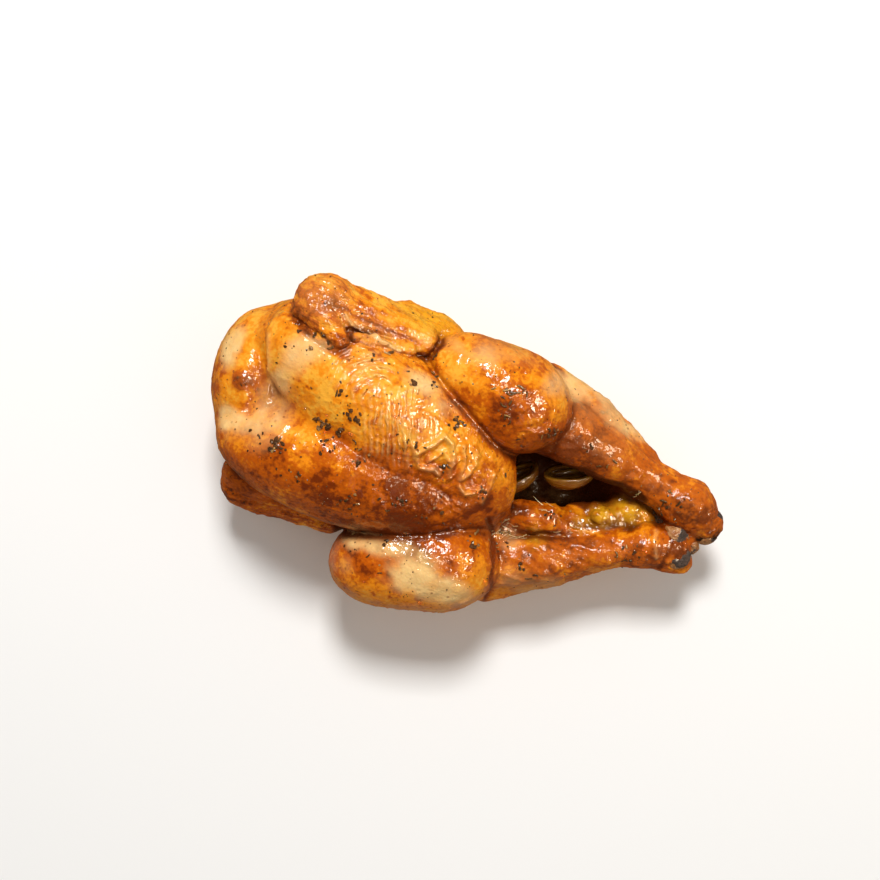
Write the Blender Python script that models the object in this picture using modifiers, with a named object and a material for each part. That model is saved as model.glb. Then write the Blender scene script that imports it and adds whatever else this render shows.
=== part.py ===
"""A whole roast chicken, lying on its back with its legs drawn together, and onion in its vent.

The bird is one solid: carcass, neck flap, tail, thighs, drumsticks and folded wings are lobes
and limbs that are fused, smoothed and then hollowed by the body cavity. The carcass is
yawed and rolled a little against the legs, as it lies. Two onion petals stand in the
mouth of the cavity and stay clear of the bird.

Units in this file are millimetres, turned to metres where a mesh is made. +X runs from the
neck to the ankles, +Y to the bird's left and +Z up. Lengths and radii are half sizes.
"""
import math

import bmesh
import bpy
from mathutils import Euler, Matrix, Vector

MILLIMETRE = 0.001

# Driving dimensions.
FRAME_SHIFT = Vector((-4.0, 4.9, 0.0))       # puts the bounding box's middle over the origin
CARCASS_ORIGIN = Vector((-50.0, 5.0, 49.0))
CARCASS_YAW = -7.0                           # degrees, breast tip towards the right leg
CARCASS_ROLL = 13.0                          # degrees, left side up
RIB_LENGTH = 78.0
RIB_WIDTH = 48.0
RIB_DEPTH = 41.0
BREAST_SPREAD = 17.0                         # from the keel to each breast lobe's middle
BREAST_RADII = (76.0, 33.0, 37.0)
LEFT_SHOULDER_SPREAD = 27.0                  # from the keel to each shoulder's middle
RIGHT_SHOULDER_SPREAD = 20.5
CAVITY_RADIUS = 27.0
VENT_RADIUS = 20.0
ONION_GAP = 0.6                              # clear space round each onion petal
ONION_RADII = (14.0, 9.0, 8.0)
ONION_THICKNESS = 3.2

# Mesh fineness.
BIRD_VOXEL = 2.0
SMOOTH_STEPS = 5
BIRD_KEPT = 0.075                            # share of the fused bird's faces that is kept
CUTTER_VOXEL = 3.0
CUTTER_KEPT = 0.12
ROUND_SEGMENTS = 24
ROUND_RINGS = 16
FLOOR_DEPTH = 30.0
FLOOR_HALF = 400.0

SKIN = ("roast_skin", (0.62, 0.27, 0.07, 1.0), 0.35)
ONION = ("cooked_onion", (0.62, 0.42, 0.16, 1.0), 0.30)


def clear_scene():
    """Remove what a new file starts with."""
    for thing in list(bpy.data.objects):
        bpy.data.objects.remove(thing, do_unlink=True)


def make_collection(name):
    """Add a collection to the scene."""
    group = bpy.data.collections.new(name)
    bpy.context.scene.collection.children.link(group)
    return group


def make_material(name, colour, roughness):
    """Make a plain Principled material."""
    material = bpy.data.materials.new(name)
    material.use_nodes = True
    shader = material.node_tree.nodes["Principled BSDF"]
    shader.inputs["Base Color"].default_value = colour
    shader.inputs["Roughness"].default_value = roughness
    shader.inputs["Metallic"].default_value = 0.0
    return material


def turn(yaw=0.0, pitch=0.0, roll=0.0):
    """Rotation with roll about X first, then pitch about Y, then yaw about Z, in degrees."""
    angles = [math.radians(angle) for angle in (roll, pitch, yaw)]
    return Euler(angles, "XYZ").to_matrix().to_4x4()


CARCASS = Matrix.Translation(CARCASS_ORIGIN) @ turn(CARCASS_YAW, 0.0, CARCASS_ROLL)


class Clay:
    """Overlapping closed rounds in one mesh, ready to be fused."""

    def __init__(self):
        self.bm = bmesh.new()

    def lobe(self, centre, radii, yaw=0.0, pitch=0.0, roll=0.0, frame=Matrix.Identity(4)):
        """Add an ellipsoid."""
        place = frame @ Matrix.Translation(Vector(centre)) @ turn(yaw, pitch, roll)
        shape = place @ Matrix.Diagonal((*radii, 1.0))
        bmesh.ops.create_uvsphere(
            self.bm, u_segments=ROUND_SEGMENTS, v_segments=ROUND_RINGS, radius=1.0, matrix=shape
        )

    def limb(self, start, end, start_radius, end_radius):
        """Add a tapered rod with round ends."""
        start, end = Vector(start), Vector(end)
        along = end - start
        for place, radius in ((start, start_radius), (end, end_radius)):
            self.lobe(place, (radius, radius, radius))
        aim = along.to_track_quat("Z", "Y").to_matrix().to_4x4()
        bmesh.ops.create_cone(
            self.bm,
            cap_ends=True,
            segments=ROUND_SEGMENTS,
            radius1=start_radius,
            radius2=end_radius,
            depth=along.length,
            matrix=Matrix.Translation((start + end) / 2.0) @ aim,
        )

    def chain(self, joints):
        """Add limbs from joint to joint, each joint a point and a radius."""
        for (start, start_radius), (end, end_radius) in zip(joints, joints[1:]):
            self.limb(start, end, start_radius, end_radius)

    def to_object(self, name, group, material=None):
        """Turn the rounds into an object in metres, in the part's frame."""
        to_part = Matrix.Scale(MILLIMETRE, 4) @ Matrix.Translation(FRAME_SHIFT)
        self.bm.transform(to_part)
        mesh = bpy.data.meshes.new(name)
        self.bm.to_mesh(mesh)
        self.bm.free()
        mesh.shade_smooth()
        if material:
            mesh.materials.append(material)
        made = bpy.data.objects.new(name, mesh)
        group.objects.link(made)
        return made


def fuse(thing, voxel, steps, kept):
    """Melt overlapping rounds into one skin, soften its creases and thin its faces."""
    melt = thing.modifiers.new("Melt", "REMESH")
    melt.mode = "VOXEL"
    melt.voxel_size = voxel * MILLIMETRE
    melt.use_smooth_shade = True
    soften = thing.modifiers.new("Soften", "SMOOTH")
    soften.factor = 0.5
    soften.iterations = steps
    thin = thing.modifiers.new("Thin", "DECIMATE")
    thin.decimate_type = "COLLAPSE"
    thin.ratio = kept
    thin.use_collapse_triangulate = True


def hide_cutter(thing):
    """Mark an object as a cutter that isn't part of the model."""
    thing.hide_render = True
    thing.display_type = "WIRE"


def cut(thing, cutter, name):
    """Take a cutter's volume out of an object."""
    hide_cutter(cutter)
    taken = thing.modifiers.new(name, "BOOLEAN")
    taken.operation = "DIFFERENCE"
    taken.solver = "EXACT"
    taken.object = cutter


def add_carcass(clay):
    """Ribs, back, breast lobes, shoulders and breast tip, in the carcass's own frame."""
    clay.lobe((0, 0, -8), (RIB_LENGTH, RIB_WIDTH, RIB_DEPTH), frame=CARCASS)
    clay.lobe((20, 0, -30), (98, 38, 23), frame=CARCASS)
    clay.lobe((56, 0, 6), (29, 25, 26), frame=CARCASS)
    for side in (1, -1):
        middle = (4, side * BREAST_SPREAD, 18)
        clay.lobe(middle, BREAST_RADII, yaw=-side * 10, pitch=8, frame=CARCASS)
        spread = LEFT_SHOULDER_SPREAD if side == 1 else RIGHT_SHOULDER_SPREAD
        clay.lobe((-45, side * spread, 6), (33, 23.5, 31), frame=CARCASS)


def add_ends(clay):
    """Neck flap at the front, pelvis and tail at the back."""
    clay.lobe((-114, 12, 56), (24, 37, 32), yaw=5, pitch=-8)
    clay.lobe((50, 3, 26), (60, 40, 28))
    clay.limb((80, 4, 25), (106, 9, 27), 19, 10)


def add_vent_rim(clay):
    """Rolled skin and fat along the right edge of the vent."""
    clay.chain([((30, -14, 47), 8), ((52, -11, 46), 9), ((70, -8, 40), 7)])
    clay.limb((70, -4, 36), (96, 6, 36), 9, 9)


def add_left_leg(clay):
    """Left thigh, drumstick muscle, shank, ankle and the web of skin below the shank."""
    clay.lobe((2, 42, 44), (53, 26, 37), yaw=-6)
    clay.lobe((-2, 46, 71), (35, 23.5, 26.5), yaw=-6)
    clay.lobe((17, 42, 71), (29.5, 26, 26.5), yaw=-12)
    clay.chain([
        ((36, 38, 62), 18),
        ((72, 32, 54), 13),
        ((100, 26.5, 47), 10),
        ((122, 20, 46), 13.5),
        ((136, 13, 42), 9.5),
    ])
    clay.chain([((31, 54, 47), 14.5), ((60, 47, 45), 13), ((92, 36, 43), 8)])


def add_right_leg(clay):
    """Right thigh, drumstick muscle, shank, two knuckles and the web of skin below."""
    clay.lobe((2, -46, 31), (51, 28, 33), yaw=12)
    clay.lobe((-16, -58, 52), (34.5, 25.5, 28.5), yaw=19)
    clay.lobe((8, -50, 53), (31.5, 26.5, 28.5), yaw=22)
    clay.chain([
        ((26, -44, 45), 15.5),
        ((58, -31, 46), 11.5),
        ((86, -17, 44), 9.5),
        ((108, -6, 44), 11),
        ((122, -2, 44), 12),
    ])
    clay.limb((122, 3, 45), (131, 6, 45), 8, 7)
    clay.limb((122, -8, 42), (133, -10, 41), 9, 7)
    clay.limb((32, -53, 33), (86, -24, 36), 12.5, 7)


def add_left_wing(clay):
    """Left wing, folded: upper arm back, forearm forward, tip over the shoulder."""
    clay.limb((-82, 48, 64), (-34, 61, 60), 17, 13)
    clay.limb((-34, 60, 67), (-88, 58, 86), 11, 14)
    clay.lobe((-93, 57, 90), (13, 14.5, 13.5))
    clay.limb((-95, 52, 95), (-74, 37.5, 105), 10, 5.5)
    clay.limb((-86, 52, 91), (-40, 56, 81), 12, 10)
    clay.limb((-52, 65, 68), (-28, 60, 68), 9, 11)


def add_right_wing(clay):
    """Right wing, folded low against the ribs."""
    clay.limb((-98, -40, 42), (-56, -48, 28), 12.5, 9.5)
    clay.limb((-58, -50, 30), (-104, -49, 35), 8, 10)
    clay.lobe((-108, -45, 38), (10, 10.5, 11))
    clay.limb((-111, -40, 47), (-80, -43, 44), 7, 5)


def make_cavity(group):
    """Cutter for the body cavity, from the ribs out through the vent."""
    clay = Clay()
    clay.lobe((8, 0, -9), (72, CAVITY_RADIUS + 4, CAVITY_RADIUS), frame=CARCASS)
    clay.limb((0, 3, 43), (60, 10, 44), CAVITY_RADIUS - 3, VENT_RADIUS)
    clay.limb((60, 10, 44), (90, 8, 54), VENT_RADIUS, VENT_RADIUS - 9)
    cavity = clay.to_object("cavity_cutter", group)
    fuse(cavity, CUTTER_VOXEL, SMOOTH_STEPS, CUTTER_KEPT)
    return cavity


def make_floor(group):
    """Cutter whose top is the plane that the bird lies on."""
    top = Matrix.Translation(Vector((0.0, 0.0, -FLOOR_DEPTH)))
    bm = bmesh.new()
    bmesh.ops.create_cube(
        bm, size=2.0, matrix=top @ Matrix.Diagonal((FLOOR_HALF, FLOOR_HALF, FLOOR_DEPTH, 1.0))
    )
    bm.transform(Matrix.Scale(MILLIMETRE, 4))
    mesh = bpy.data.meshes.new("floor_cutter")
    bm.to_mesh(mesh)
    bm.free()
    floor = bpy.data.objects.new("floor_cutter", mesh)
    group.objects.link(floor)
    return floor


def petal_clay(place, gap):
    """A petal's outer round, grown by a gap."""
    clay = Clay()
    clay.lobe((0, 0, 0), [radius + gap for radius in ONION_RADII], frame=place)
    return clay


def make_petal(name, place, group, cutters, material):
    """Make a curved onion petal and the rounder cutter that keeps the bird clear of it."""
    petal = petal_clay(place, 0.0).to_object(name, group, material)
    hollow = petal_clay(place @ Matrix.Translation(Vector((0, 0, ONION_THICKNESS))), 0.0)
    cut(petal, hollow.to_object(name + "_hollow", cutters), "Hollow")
    return petal, petal_clay(place, ONION_GAP).to_object(name + "_room", cutters)


def make_bird(group, cutters, material):
    """Make the bird as one solid, hollowed and with a flat spot to lie on."""
    clay = Clay()
    for add in (add_carcass, add_ends, add_vent_rim, add_left_leg, add_right_leg,
                add_left_wing, add_right_wing):
        add(clay)
    bird = clay.to_object("roast_chicken", group, material)
    fuse(bird, BIRD_VOXEL, SMOOTH_STEPS, BIRD_KEPT)
    cut(bird, make_cavity(cutters), "Cavity")
    cut(bird, make_floor(cutters), "Flat underside")
    return bird


def main():
    """Build the bird and its onion."""
    clear_scene()
    group = make_collection("roast_chicken_parts")
    cutters = make_collection("cutters")
    skin = make_material(*SKIN)
    onion = make_material(*ONION)
    bird = make_bird(group, cutters, skin)
    places = {
        "onion_petal_front": Matrix.Translation((30, 5, 45)) @ turn(45, 5, -60),
        "onion_petal_rear": Matrix.Translation((57, 16, 43)) @ turn(24, 0, -58),
    }
    for name, place in places.items():
        room = make_petal(name, place, group, cutters, onion)[1]
        cut(bird, room, "Room for " + name)


main()
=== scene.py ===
"""Looks of a whole roast chicken lying on its back: basted skin, onion in the vent, pepper and herbs.

The bird's skin is one mesh, drawn round a distance field of lobes and limbs, wrinkled along its
normals and dressed by masks that say how brown, pale, charred or fatty each place is; the masks
also paint shade into creases, grooves and the cavity, and pale the crest tops partly as painted highlight.
Pepper, herb blades, basting drops and torn shreds are joined meshes that lie on that skin.
Lengths in this file are millimetres in the bird's own frame until a mesh is made: +X runs from
the neck to the ankles, +Y to the bird's left and +Z up.
"""
import logging
import math
from collections.abc import Iterator
from dataclasses import dataclass, field
from enum import Enum

import bmesh
import bpy
import numpy as np
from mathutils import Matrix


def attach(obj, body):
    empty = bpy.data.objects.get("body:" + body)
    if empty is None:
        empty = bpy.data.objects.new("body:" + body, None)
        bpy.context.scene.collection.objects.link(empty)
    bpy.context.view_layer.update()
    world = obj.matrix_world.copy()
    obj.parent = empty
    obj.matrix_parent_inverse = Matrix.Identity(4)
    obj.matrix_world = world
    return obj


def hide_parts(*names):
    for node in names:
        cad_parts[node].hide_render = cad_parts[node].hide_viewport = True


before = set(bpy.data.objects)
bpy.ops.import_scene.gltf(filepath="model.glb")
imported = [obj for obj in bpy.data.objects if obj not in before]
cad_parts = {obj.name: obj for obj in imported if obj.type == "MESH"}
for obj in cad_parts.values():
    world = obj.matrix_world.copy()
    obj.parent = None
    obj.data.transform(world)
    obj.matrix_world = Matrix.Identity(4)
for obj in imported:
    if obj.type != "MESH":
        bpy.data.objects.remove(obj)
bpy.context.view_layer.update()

import openvdb
from mathutils import Euler, Matrix, Vector
from mathutils.bvhtree import BVHTree

Array = np.ndarray
Triple = tuple[float, float, float]
Colour = tuple[float, float, float]
Material = bpy.types.Material
Mesh = bpy.types.Mesh
NodeTree = bpy.types.NodeTree
Piece = bpy.types.Object
Socket = bpy.types.NodeSocket

log = logging.getLogger("roast_chicken")

MILLIMETRE = 0.001
FRAME_SHIFT = np.array([-4.0, 4.9, 0.0])     # from the bird's own frame to the part's frame
FIELD_LOW = np.array([-152.0, -94.0, -6.0])
FIELD_HIGH = np.array([154.0, 88.0, 118.0])
FAR = 30.0
OVER_BIRD = 150.0


class Slot(Enum):
    """Material slot names, which no piece in this script takes its finish from."""

    SKIN = "roast_skin"
    ONION = "cooked_onion"
    SEASONING = "seasoning"
    KNUCKLE = "knuckle"
    JUICE = "basting_juice"


class Side(Enum):
    """The bird's two sides, as the sign of Y."""

    LEFT = 1
    RIGHT = -1


def turn(yaw: float = 0.0, pitch: float = 0.0, roll: float = 0.0) -> Array:
    """Rotation matrix with roll about X first, then pitch about Y, then yaw about Z, in degrees."""
    angles = [math.radians(angle) for angle in (roll, pitch, yaw)]
    return np.array(Euler(angles, "XYZ").to_matrix())


def smoothstep(low: float, high: float, value: Array) -> Array:
    """Ease from 0 at low to 1 at high, where high may be under low."""
    t = np.clip((value - low) / (high - low), 0.0, 1.0)
    return t * t * (3.0 - 2.0 * t)


def corners(part: Array) -> Iterator[tuple[Array, Array]]:
    """The eight corners of a lattice cell, with each place's share of them.

    Args:
        part: How far across its cell each place is, from 0 to 1, N by 3.

    Yields:
        A corner's step from the cell's lowest corner, and its share for each place.
    """
    for corner in range(8):
        step = np.array([corner & 1, corner >> 1 & 1, corner >> 2 & 1])
        yield step, np.prod(np.where(step, part, 1.0 - part), axis=1)


def along_segment(points: Array, start: Triple, end: Triple) -> tuple[Array, Array]:
    """Where places lie beside a segment.

    Args:
        points: Places, N by 2 or N by 3.
        start: The segment's first end.
        end: Its other end.

    Returns:
        How far along it each place is, from 0 to 1, and its squared distance from it.
    """
    a, b = np.array(start, float), np.array(end, float)
    along = b - a
    share = np.clip(((points - a) @ along) / (along @ along), 0.0, 1.0)
    return share, ((points - a - share[:, None] * along) ** 2).sum(1)


class Noise:
    """Smooth repeatable noise in space."""

    def __init__(self, seed: int) -> None:
        """Keep a seed, a whole number that picks the pattern."""
        self.seed = seed

    def _corner(self, cell: Array) -> Array:
        """A number from -1 to 1 for each lattice cell."""
        mask = np.int64(0xFFFFFFFF)
        mixed = cell[:, 0] * 374761393 + cell[:, 1] * 668265263 + cell[:, 2] * 1440662683
        mixed = (mixed + self.seed * 974634777) & mask
        mixed = ((mixed ^ (mixed >> 13)) * 1274126177) & mask
        mixed = ((mixed ^ (mixed >> 15)) * 2246822519) & mask
        mixed = (mixed ^ (mixed >> 16)) & np.int64(0xFFFF)
        return mixed.astype(np.float64) / 32767.5 - 1.0

    def at(self, points: Array, size: float | Triple) -> Array:
        """Noise from -1 to 1.

        Args:
            points: Places, N by 3.
            size: Size of the noise's lumps, one number or one for each axis.

        Returns:
            One number for each place.
        """
        scaled = points / np.array(size, float) + 0.37
        cell = np.floor(scaled).astype(np.int64)
        part = scaled - cell
        ease = part ** 3 * (part * (part * 6.0 - 15.0) + 10.0)
        total = np.zeros(len(points))
        for step, weight in corners(ease):
            total += weight * self._corner(cell + step)
        return total

    def layered(self, points: Array, size: float | Triple, layers: int = 3) -> Array:
        """Noise with finer layers added.

        Args:
            points: Places, N by 3.
            size: Size of the largest lumps.
            layers: How many layers, each half the size and height of the last.

        Returns:
            One number for each place, mostly from -1 to 1.
        """
        total = np.zeros(len(points))
        for layer in range(layers):
            scale = 0.5 ** layer
            total += scale * Noise(self.seed + 17 * layer).at(points, np.array(size, float) * scale)
        return total / 1.5

    def ridged(self, points: Array, size: float | Triple, sharp: float = 2.0) -> Array:
        """Thin crests where the noise crosses nought, from 0 between them to 1 on them."""
        return np.clip(1.0 - sharp * np.abs(self.at(points, size)), 0.0, 1.0)


@dataclass(frozen=True)
class CarcassPose:
    """How the carcass lies against the legs."""

    origin: Triple = (-50.0, 5.0, 49.0)
    yaw: float = -7.0
    roll: float = 13.0

    def rotation(self) -> Array:
        """The carcass's rotation matrix."""
        return turn(self.yaw, 0.0, self.roll)

    def place(self, point: Triple) -> Array:
        """A point of the carcass in the bird's frame."""
        return self.rotation() @ np.array(point, float) + np.array(self.origin)

    def local(self, points: Array) -> Array:
        """Points of the bird's frame in the carcass's frame."""
        return (points - np.array(self.origin)) @ self.rotation()


POSE = CarcassPose()


class Clay:
    """A distance field on a grid, built up from soft-edged rounds."""

    def __init__(self, step: float) -> None:
        """Start with empty space.

        Args:
            step: Grid spacing.
        """
        self.step = step
        count = np.ceil((FIELD_HIGH - FIELD_LOW) / step).astype(int) + 1
        self.count = count
        self.axes = [(FIELD_LOW[i] + step * np.arange(count[i])).astype(np.float32) for i in range(3)]
        self.distance = np.full(tuple(count), FAR, np.float32)

    def _window(self, low: Array, high: Array) -> tuple[tuple[slice, ...], Array]:
        """The part of the grid round a shape.

        Args:
            low: The shape's lowest corner.
            high: The shape's highest corner.

        Returns:
            Slices of the grid, and the places there.
        """
        reach = FAR * 0.5
        first = np.clip(np.floor((low - reach - FIELD_LOW) / self.step).astype(int), 0, self.count - 1)
        last = np.clip(np.ceil((high + reach - FIELD_LOW) / self.step).astype(int) + 1, 1, self.count)
        part = tuple(slice(a, b) for a, b in zip(first, last))
        grids = np.meshgrid(*(self.axes[i][part[i]] for i in range(3)), indexing="ij")
        return part, np.stack(grids, -1)

    def _mix(self, part: tuple[slice, ...], distance: Array, blend: float, carve: bool) -> None:
        """Add or carve a shape with a rounded seam.

        Args:
            part: Slices of the grid.
            distance: The shape's distance there.
            blend: Width of the seam's rounding.
            carve: Take the shape away instead.
        """
        now = self.distance[part]
        sign = -1.0 if carve else 1.0
        a, b = sign * now, distance
        near = np.maximum(blend - np.abs(a - b), 0.0) / blend
        self.distance[part] = sign * (np.minimum(a, b) - near * near * blend * 0.25)

    def lobe(self, centre: Triple, radii: Triple, blend: float, yaw: float = 0.0, pitch: float = 0.0,
             roll: float = 0.0, on_carcass: bool = False, carve: bool = False) -> None:
        """Add an ellipsoid.

        Args:
            centre: Its middle.
            radii: Half its length, width and height.
            blend: Width of the seam's rounding.
            yaw: Degrees about Z.
            pitch: Degrees about Y.
            roll: Degrees about X.
            on_carcass: Whether the place is in the carcass's frame.
            carve: Take it away instead.
        """
        axes = turn(yaw, pitch, roll)
        middle = np.array(centre, float)
        if on_carcass:
            axes = POSE.rotation() @ axes
            middle = POSE.place(centre)
        size = np.array(radii, float)
        extent = np.sqrt(((axes * size) ** 2).sum(1))
        part, places = self._window(middle - extent, middle + extent)
        own = (places - middle.astype(np.float32)) @ axes.astype(np.float32)
        near = np.sqrt(((own / size) ** 2).sum(-1))
        slope = np.sqrt(((own / size ** 2) ** 2).sum(-1))
        distance = near * (near - 1.0) / np.maximum(slope, 1e-6)
        self._mix(part, distance.astype(np.float32), blend, carve)

    def limb(self, start: Triple, end: Triple, start_radius: float, end_radius: float, blend: float,
             carve: bool = False) -> None:
        """Add a tapered rod with round ends.

        Args:
            start: Middle of the first end.
            end: Middle of the other end.
            start_radius: Radius at the first end.
            end_radius: Radius at the other end.
            blend: Width of the seam's rounding.
            carve: Take it away instead.
        """
        a, b = np.array(start, float), np.array(end, float)
        widest = max(start_radius, end_radius)
        part, places = self._window(np.minimum(a, b) - widest, np.maximum(a, b) + widest)
        along = b - a
        share = np.clip(((places - a) @ along) / (along @ along), 0.0, 1.0)
        off = places - (a + share[..., None] * along)
        distance = np.sqrt((off ** 2).sum(-1)) - (start_radius + (end_radius - start_radius) * share)
        self._mix(part, distance.astype(np.float32), blend, carve)

    def chain(self, joints: list[tuple[Triple, float]], blend: float) -> None:
        """Add limbs from joint to joint, each given as a place and a radius."""
        for (start, start_radius), (end, end_radius) in zip(joints, joints[1:]):
            self.limb(start, end, start_radius, end_radius, blend)

    def merge(self, other: "Clay", blend: float) -> None:
        """Add another piece of clay on the same grid, with a seam of this width."""
        self._mix((slice(None),) * 3, other.distance, blend, False)

    def flatten_floor(self) -> None:
        """Cut the clay off at Z = 0."""
        self.distance = np.maximum(self.distance, -self.axes[2][None, None, :])

    def sample(self, points: Array) -> Array:
        """The distance at any places.

        Args:
            points: Places, N by 3.

        Returns:
            One distance for each place, negative inside.
        """
        scaled = np.clip((points - FIELD_LOW) / self.step, 0.0, self.count - 1.001)
        cell = scaled.astype(int)
        part = scaled - cell
        total = np.zeros(len(points))
        for step, weight in corners(part):
            i, j, k = (cell + step).T
            total += weight * self.distance[i, j, k]
        return total

    def to_mesh(self, name: str) -> Mesh:
        """Draw a mesh round the clay, still in millimetres.

        Args:
            name: The mesh's name.

        Returns:
            The new mesh.
        """
        band = 3.0 * self.step
        grid = openvdb.FloatGrid(band)
        grid.copyFromArray(np.clip(self.distance, -band, band), tolerance=1e-6)
        points, quads = grid.convertToQuads(isovalue=0.0)
        mesh = bpy.data.meshes.new(name)
        places = points * self.step + FIELD_LOW
        mesh.from_pydata(places.tolist(), [], quads.tolist())
        mesh.update()
        return mesh


@dataclass
class Carcass:
    """Ribs, back, breasts, neck flap, pelvis and tail, with the cavity."""

    rib_radii: Triple = (78.0, 48.0, 41.0)
    back_radii: Triple = (98.0, 38.0, 23.0)
    breast_radii: Triple = (76.0, 33.0, 37.0)
    breast_spread: float = 17.0
    shoulder_spread: dict[Side, float] = field(default_factory=lambda: {Side.LEFT: 27.0, Side.RIGHT: 20.5})
    tip_radii: Triple = (28.0, 24.0, 25.0)
    cavity_radius: float = 27.0
    vent_radius: float = 20.0
    lumps: tuple[tuple[Triple, float], ...] = (
        ((73, -7, 43), 4.4), ((79, -1, 46), 3.6), ((84, 1, 44), 4.0), ((82, -7, 40), 5.0), ((89, 4, 44), 3.2),
        ((94, 8, 42), 5.0), ((93, -1, 38), 5.0), ((103, 6, 39), 5.8), ((87, 11, 38), 4.2), ((70, -2, 40), 3.4),
        ((101, 13, 38), 5.0), ((97, 3, 44), 2.6), ((76, 4, 41), 3.0), ((90, -4, 43), 2.6),
    )

    def shape(self, clay: Clay) -> None:
        """Add the carcass to the clay."""
        clay.lobe((0, 0, -8), self.rib_radii, 12, on_carcass=True)
        for side in Side:
            s = side.value
            middle = (4, s * self.breast_spread, 18)
            clay.lobe(middle, self.breast_radii, 8, yaw=-s * 10, pitch=8, on_carcass=True)
            spread = self.shoulder_spread[side]
            clay.lobe((-45, s * spread, 6), (33, 23, 31), 12, on_carcass=True)
        clay.lobe((56, 0, 6), self.tip_radii, 12, on_carcass=True)
        clay.lobe((20, 0, -30), self.back_radii, 14, on_carcass=True)
        clay.lobe((-114, 12, 56), (24, 37, 32), 3, yaw=5, pitch=-8)
        clay.lobe((-119, 6, 85), (4.5, 4.5, 4.5), 3)
        clay.lobe((50, 3, 26), (60, 39, 27), 14)
        clay.limb((80, 4, 25), (106, 9, 27), 19, 9, 12)

    def hollow(self, clay: Clay) -> None:
        """Carve the cavity out through the vent, then roll skin and fat along its edge."""
        radius = self.cavity_radius
        clay.lobe((8, 0, -9), (72, radius + 4, radius), 5, on_carcass=True, carve=True)
        clay.limb((0, 3, 43), (60, 10, 44), radius - 3, self.vent_radius, 5, carve=True)
        clay.limb((60, 10, 44), (90, 8, 54), self.vent_radius, self.vent_radius - 9, 5, carve=True)
        clay.chain([((30, -14, 48), 7), ((44, -12, 48), 7.5), ((55, -10, 46), 8), ((66, -8, 42), 5.5)], 3)
        clay.limb((68, -5, 37), (97, 7, 37), 8, 8, 5)
        for place, radius in self.lumps:
            clay.lobe(place, (radius * 1.2, radius, radius), 1.6)


@dataclass
class Leg:
    """A thigh, the drumstick's muscle, its shank and the web of skin below."""

    thigh: tuple[Triple, Triple, float]
    muscles: tuple[tuple[Triple, Triple, float], ...]
    shank: tuple[tuple[Triple, float], ...]
    web: tuple[tuple[Triple, float], ...]
    knobs: tuple[tuple[Triple, Triple, float, float], ...] = ()
    crease: float = 1.0
    seat: float = 2.2

    def thigh_shape(self, clay: Clay) -> None:
        """Add the thigh, which lies under the rest of the carcass's skin."""
        centre, radii, yaw = self.thigh
        clay.lobe(centre, radii, 14, yaw=yaw)

    def shape(self, clay: Clay) -> None:
        """Add the drumstick, set against the body with a tight crease."""
        leg = Clay(clay.step)
        for centre, radii, yaw in self.muscles:
            leg.lobe(centre, radii, 9, yaw=yaw)
        bone = Clay(clay.step)
        bone.chain(list(self.shank), 6)
        bone.chain(list(self.web), 4)
        for knob in self.knobs:
            bone.limb(*knob, 3.5)
        leg.merge(bone, self.crease)
        clay.merge(leg, self.seat)


@dataclass
class Wing:
    """A folded wing of limbs and knobs."""

    rods: tuple[tuple[Triple, Triple, float, float, float], ...]
    knob: tuple[Triple, Triple]
    seat: float = 3.0

    def shape(self, clay: Clay) -> None:
        """Add the wing to the clay."""
        wing = Clay(clay.step)
        for start, end, start_radius, end_radius, blend in self.rods:
            wing.limb(start, end, start_radius, end_radius, blend)
        wing.lobe(*self.knob, 7)
        clay.merge(wing, self.seat)


LEFT_LEG = Leg(
    thigh=((2, 42, 44), (52, 25, 36), -6),
    muscles=(((-2, 46, 71), (35, 23, 26), -6), ((17, 42, 71), (29, 25.5, 26), -12)),
    shank=(((36, 38, 62), 17.5), ((72, 32, 54), 12.5), ((100, 26.5, 47), 9.5), ((122, 20, 46), 13),
           ((134, 14, 42), 9.2)),
    web=(((31, 54, 47), 14), ((60, 47, 45), 12.5), ((92, 36, 43), 7.5)),
)
RIGHT_LEG = Leg(
    thigh=((2, -46, 31), (50, 27, 32), 12),
    muscles=(((-16, -58, 52), (34, 25, 28), 19), ((8, -50, 53), (31, 26, 28), 22)),
    shank=(((26, -44, 45), 15), ((58, -31, 46), 11), ((86, -17, 44), 9), ((108, -6, 44), 10.5),
           ((120, -2.5, 44), 10.4)),
    web=(((32, -53, 33), 12), ((86, -24, 36), 6.5)),
    knobs=(((120, 3, 44), (128, 5, 42), 8, 5.5), ((120, -8, 41), (129, -9, 40), 8.5, 6)),
)
LEFT_WING = Wing(
    rods=(((-82, 48, 64), (-34, 61, 60), 17, 12, 8), ((-34, 60, 67), (-88, 58, 86), 10, 13, 6),
          ((-95, 52, 95), (-77, 40, 104.5), 9.5, 4.0, 4), ((-86, 52, 91), (-40, 56, 81), 11, 9, 5),
          ((-70, 44.5, 100), (-44, 48, 89), 2.8, 3.2, 2), ((-52, 65, 68), (-28, 60, 68), 8, 10, 4)),
    knob=((-93, 57, 90), (12.5, 14, 13)),
    seat=1.4,
)
RIGHT_WING = Wing(
    rods=(((-98, -40, 42), (-56, -48, 28), 12, 9, 5), ((-58, -50, 30), (-104, -49, 35), 7.5, 9.5, 2.5),
          ((-111, -40, 47), (-80, -43, 44), 6.5, 4.5, 2), ((-84, -44, 42), (-60, -52, 34), 5, 4, 2)),
    knob=((-108, -45, 38), (9.5, 10, 10.5)),
    seat=1.6,
)


@dataclass(frozen=True)
class Spot:
    """A soft-edged place on the bird."""

    centre: Triple
    reach: float
    amount: float = 1.0
    squash: Triple = (1.0, 1.0, 2.4)

    def weight(self, points: Array) -> Array:
        """One weight for each place, from amount in the middle to 0 at the reach."""
        off = (points - np.array(self.centre)) / np.array(self.squash)
        return self.amount * smoothstep(self.reach, self.reach * 0.25, np.sqrt((off ** 2).sum(1)))


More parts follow.
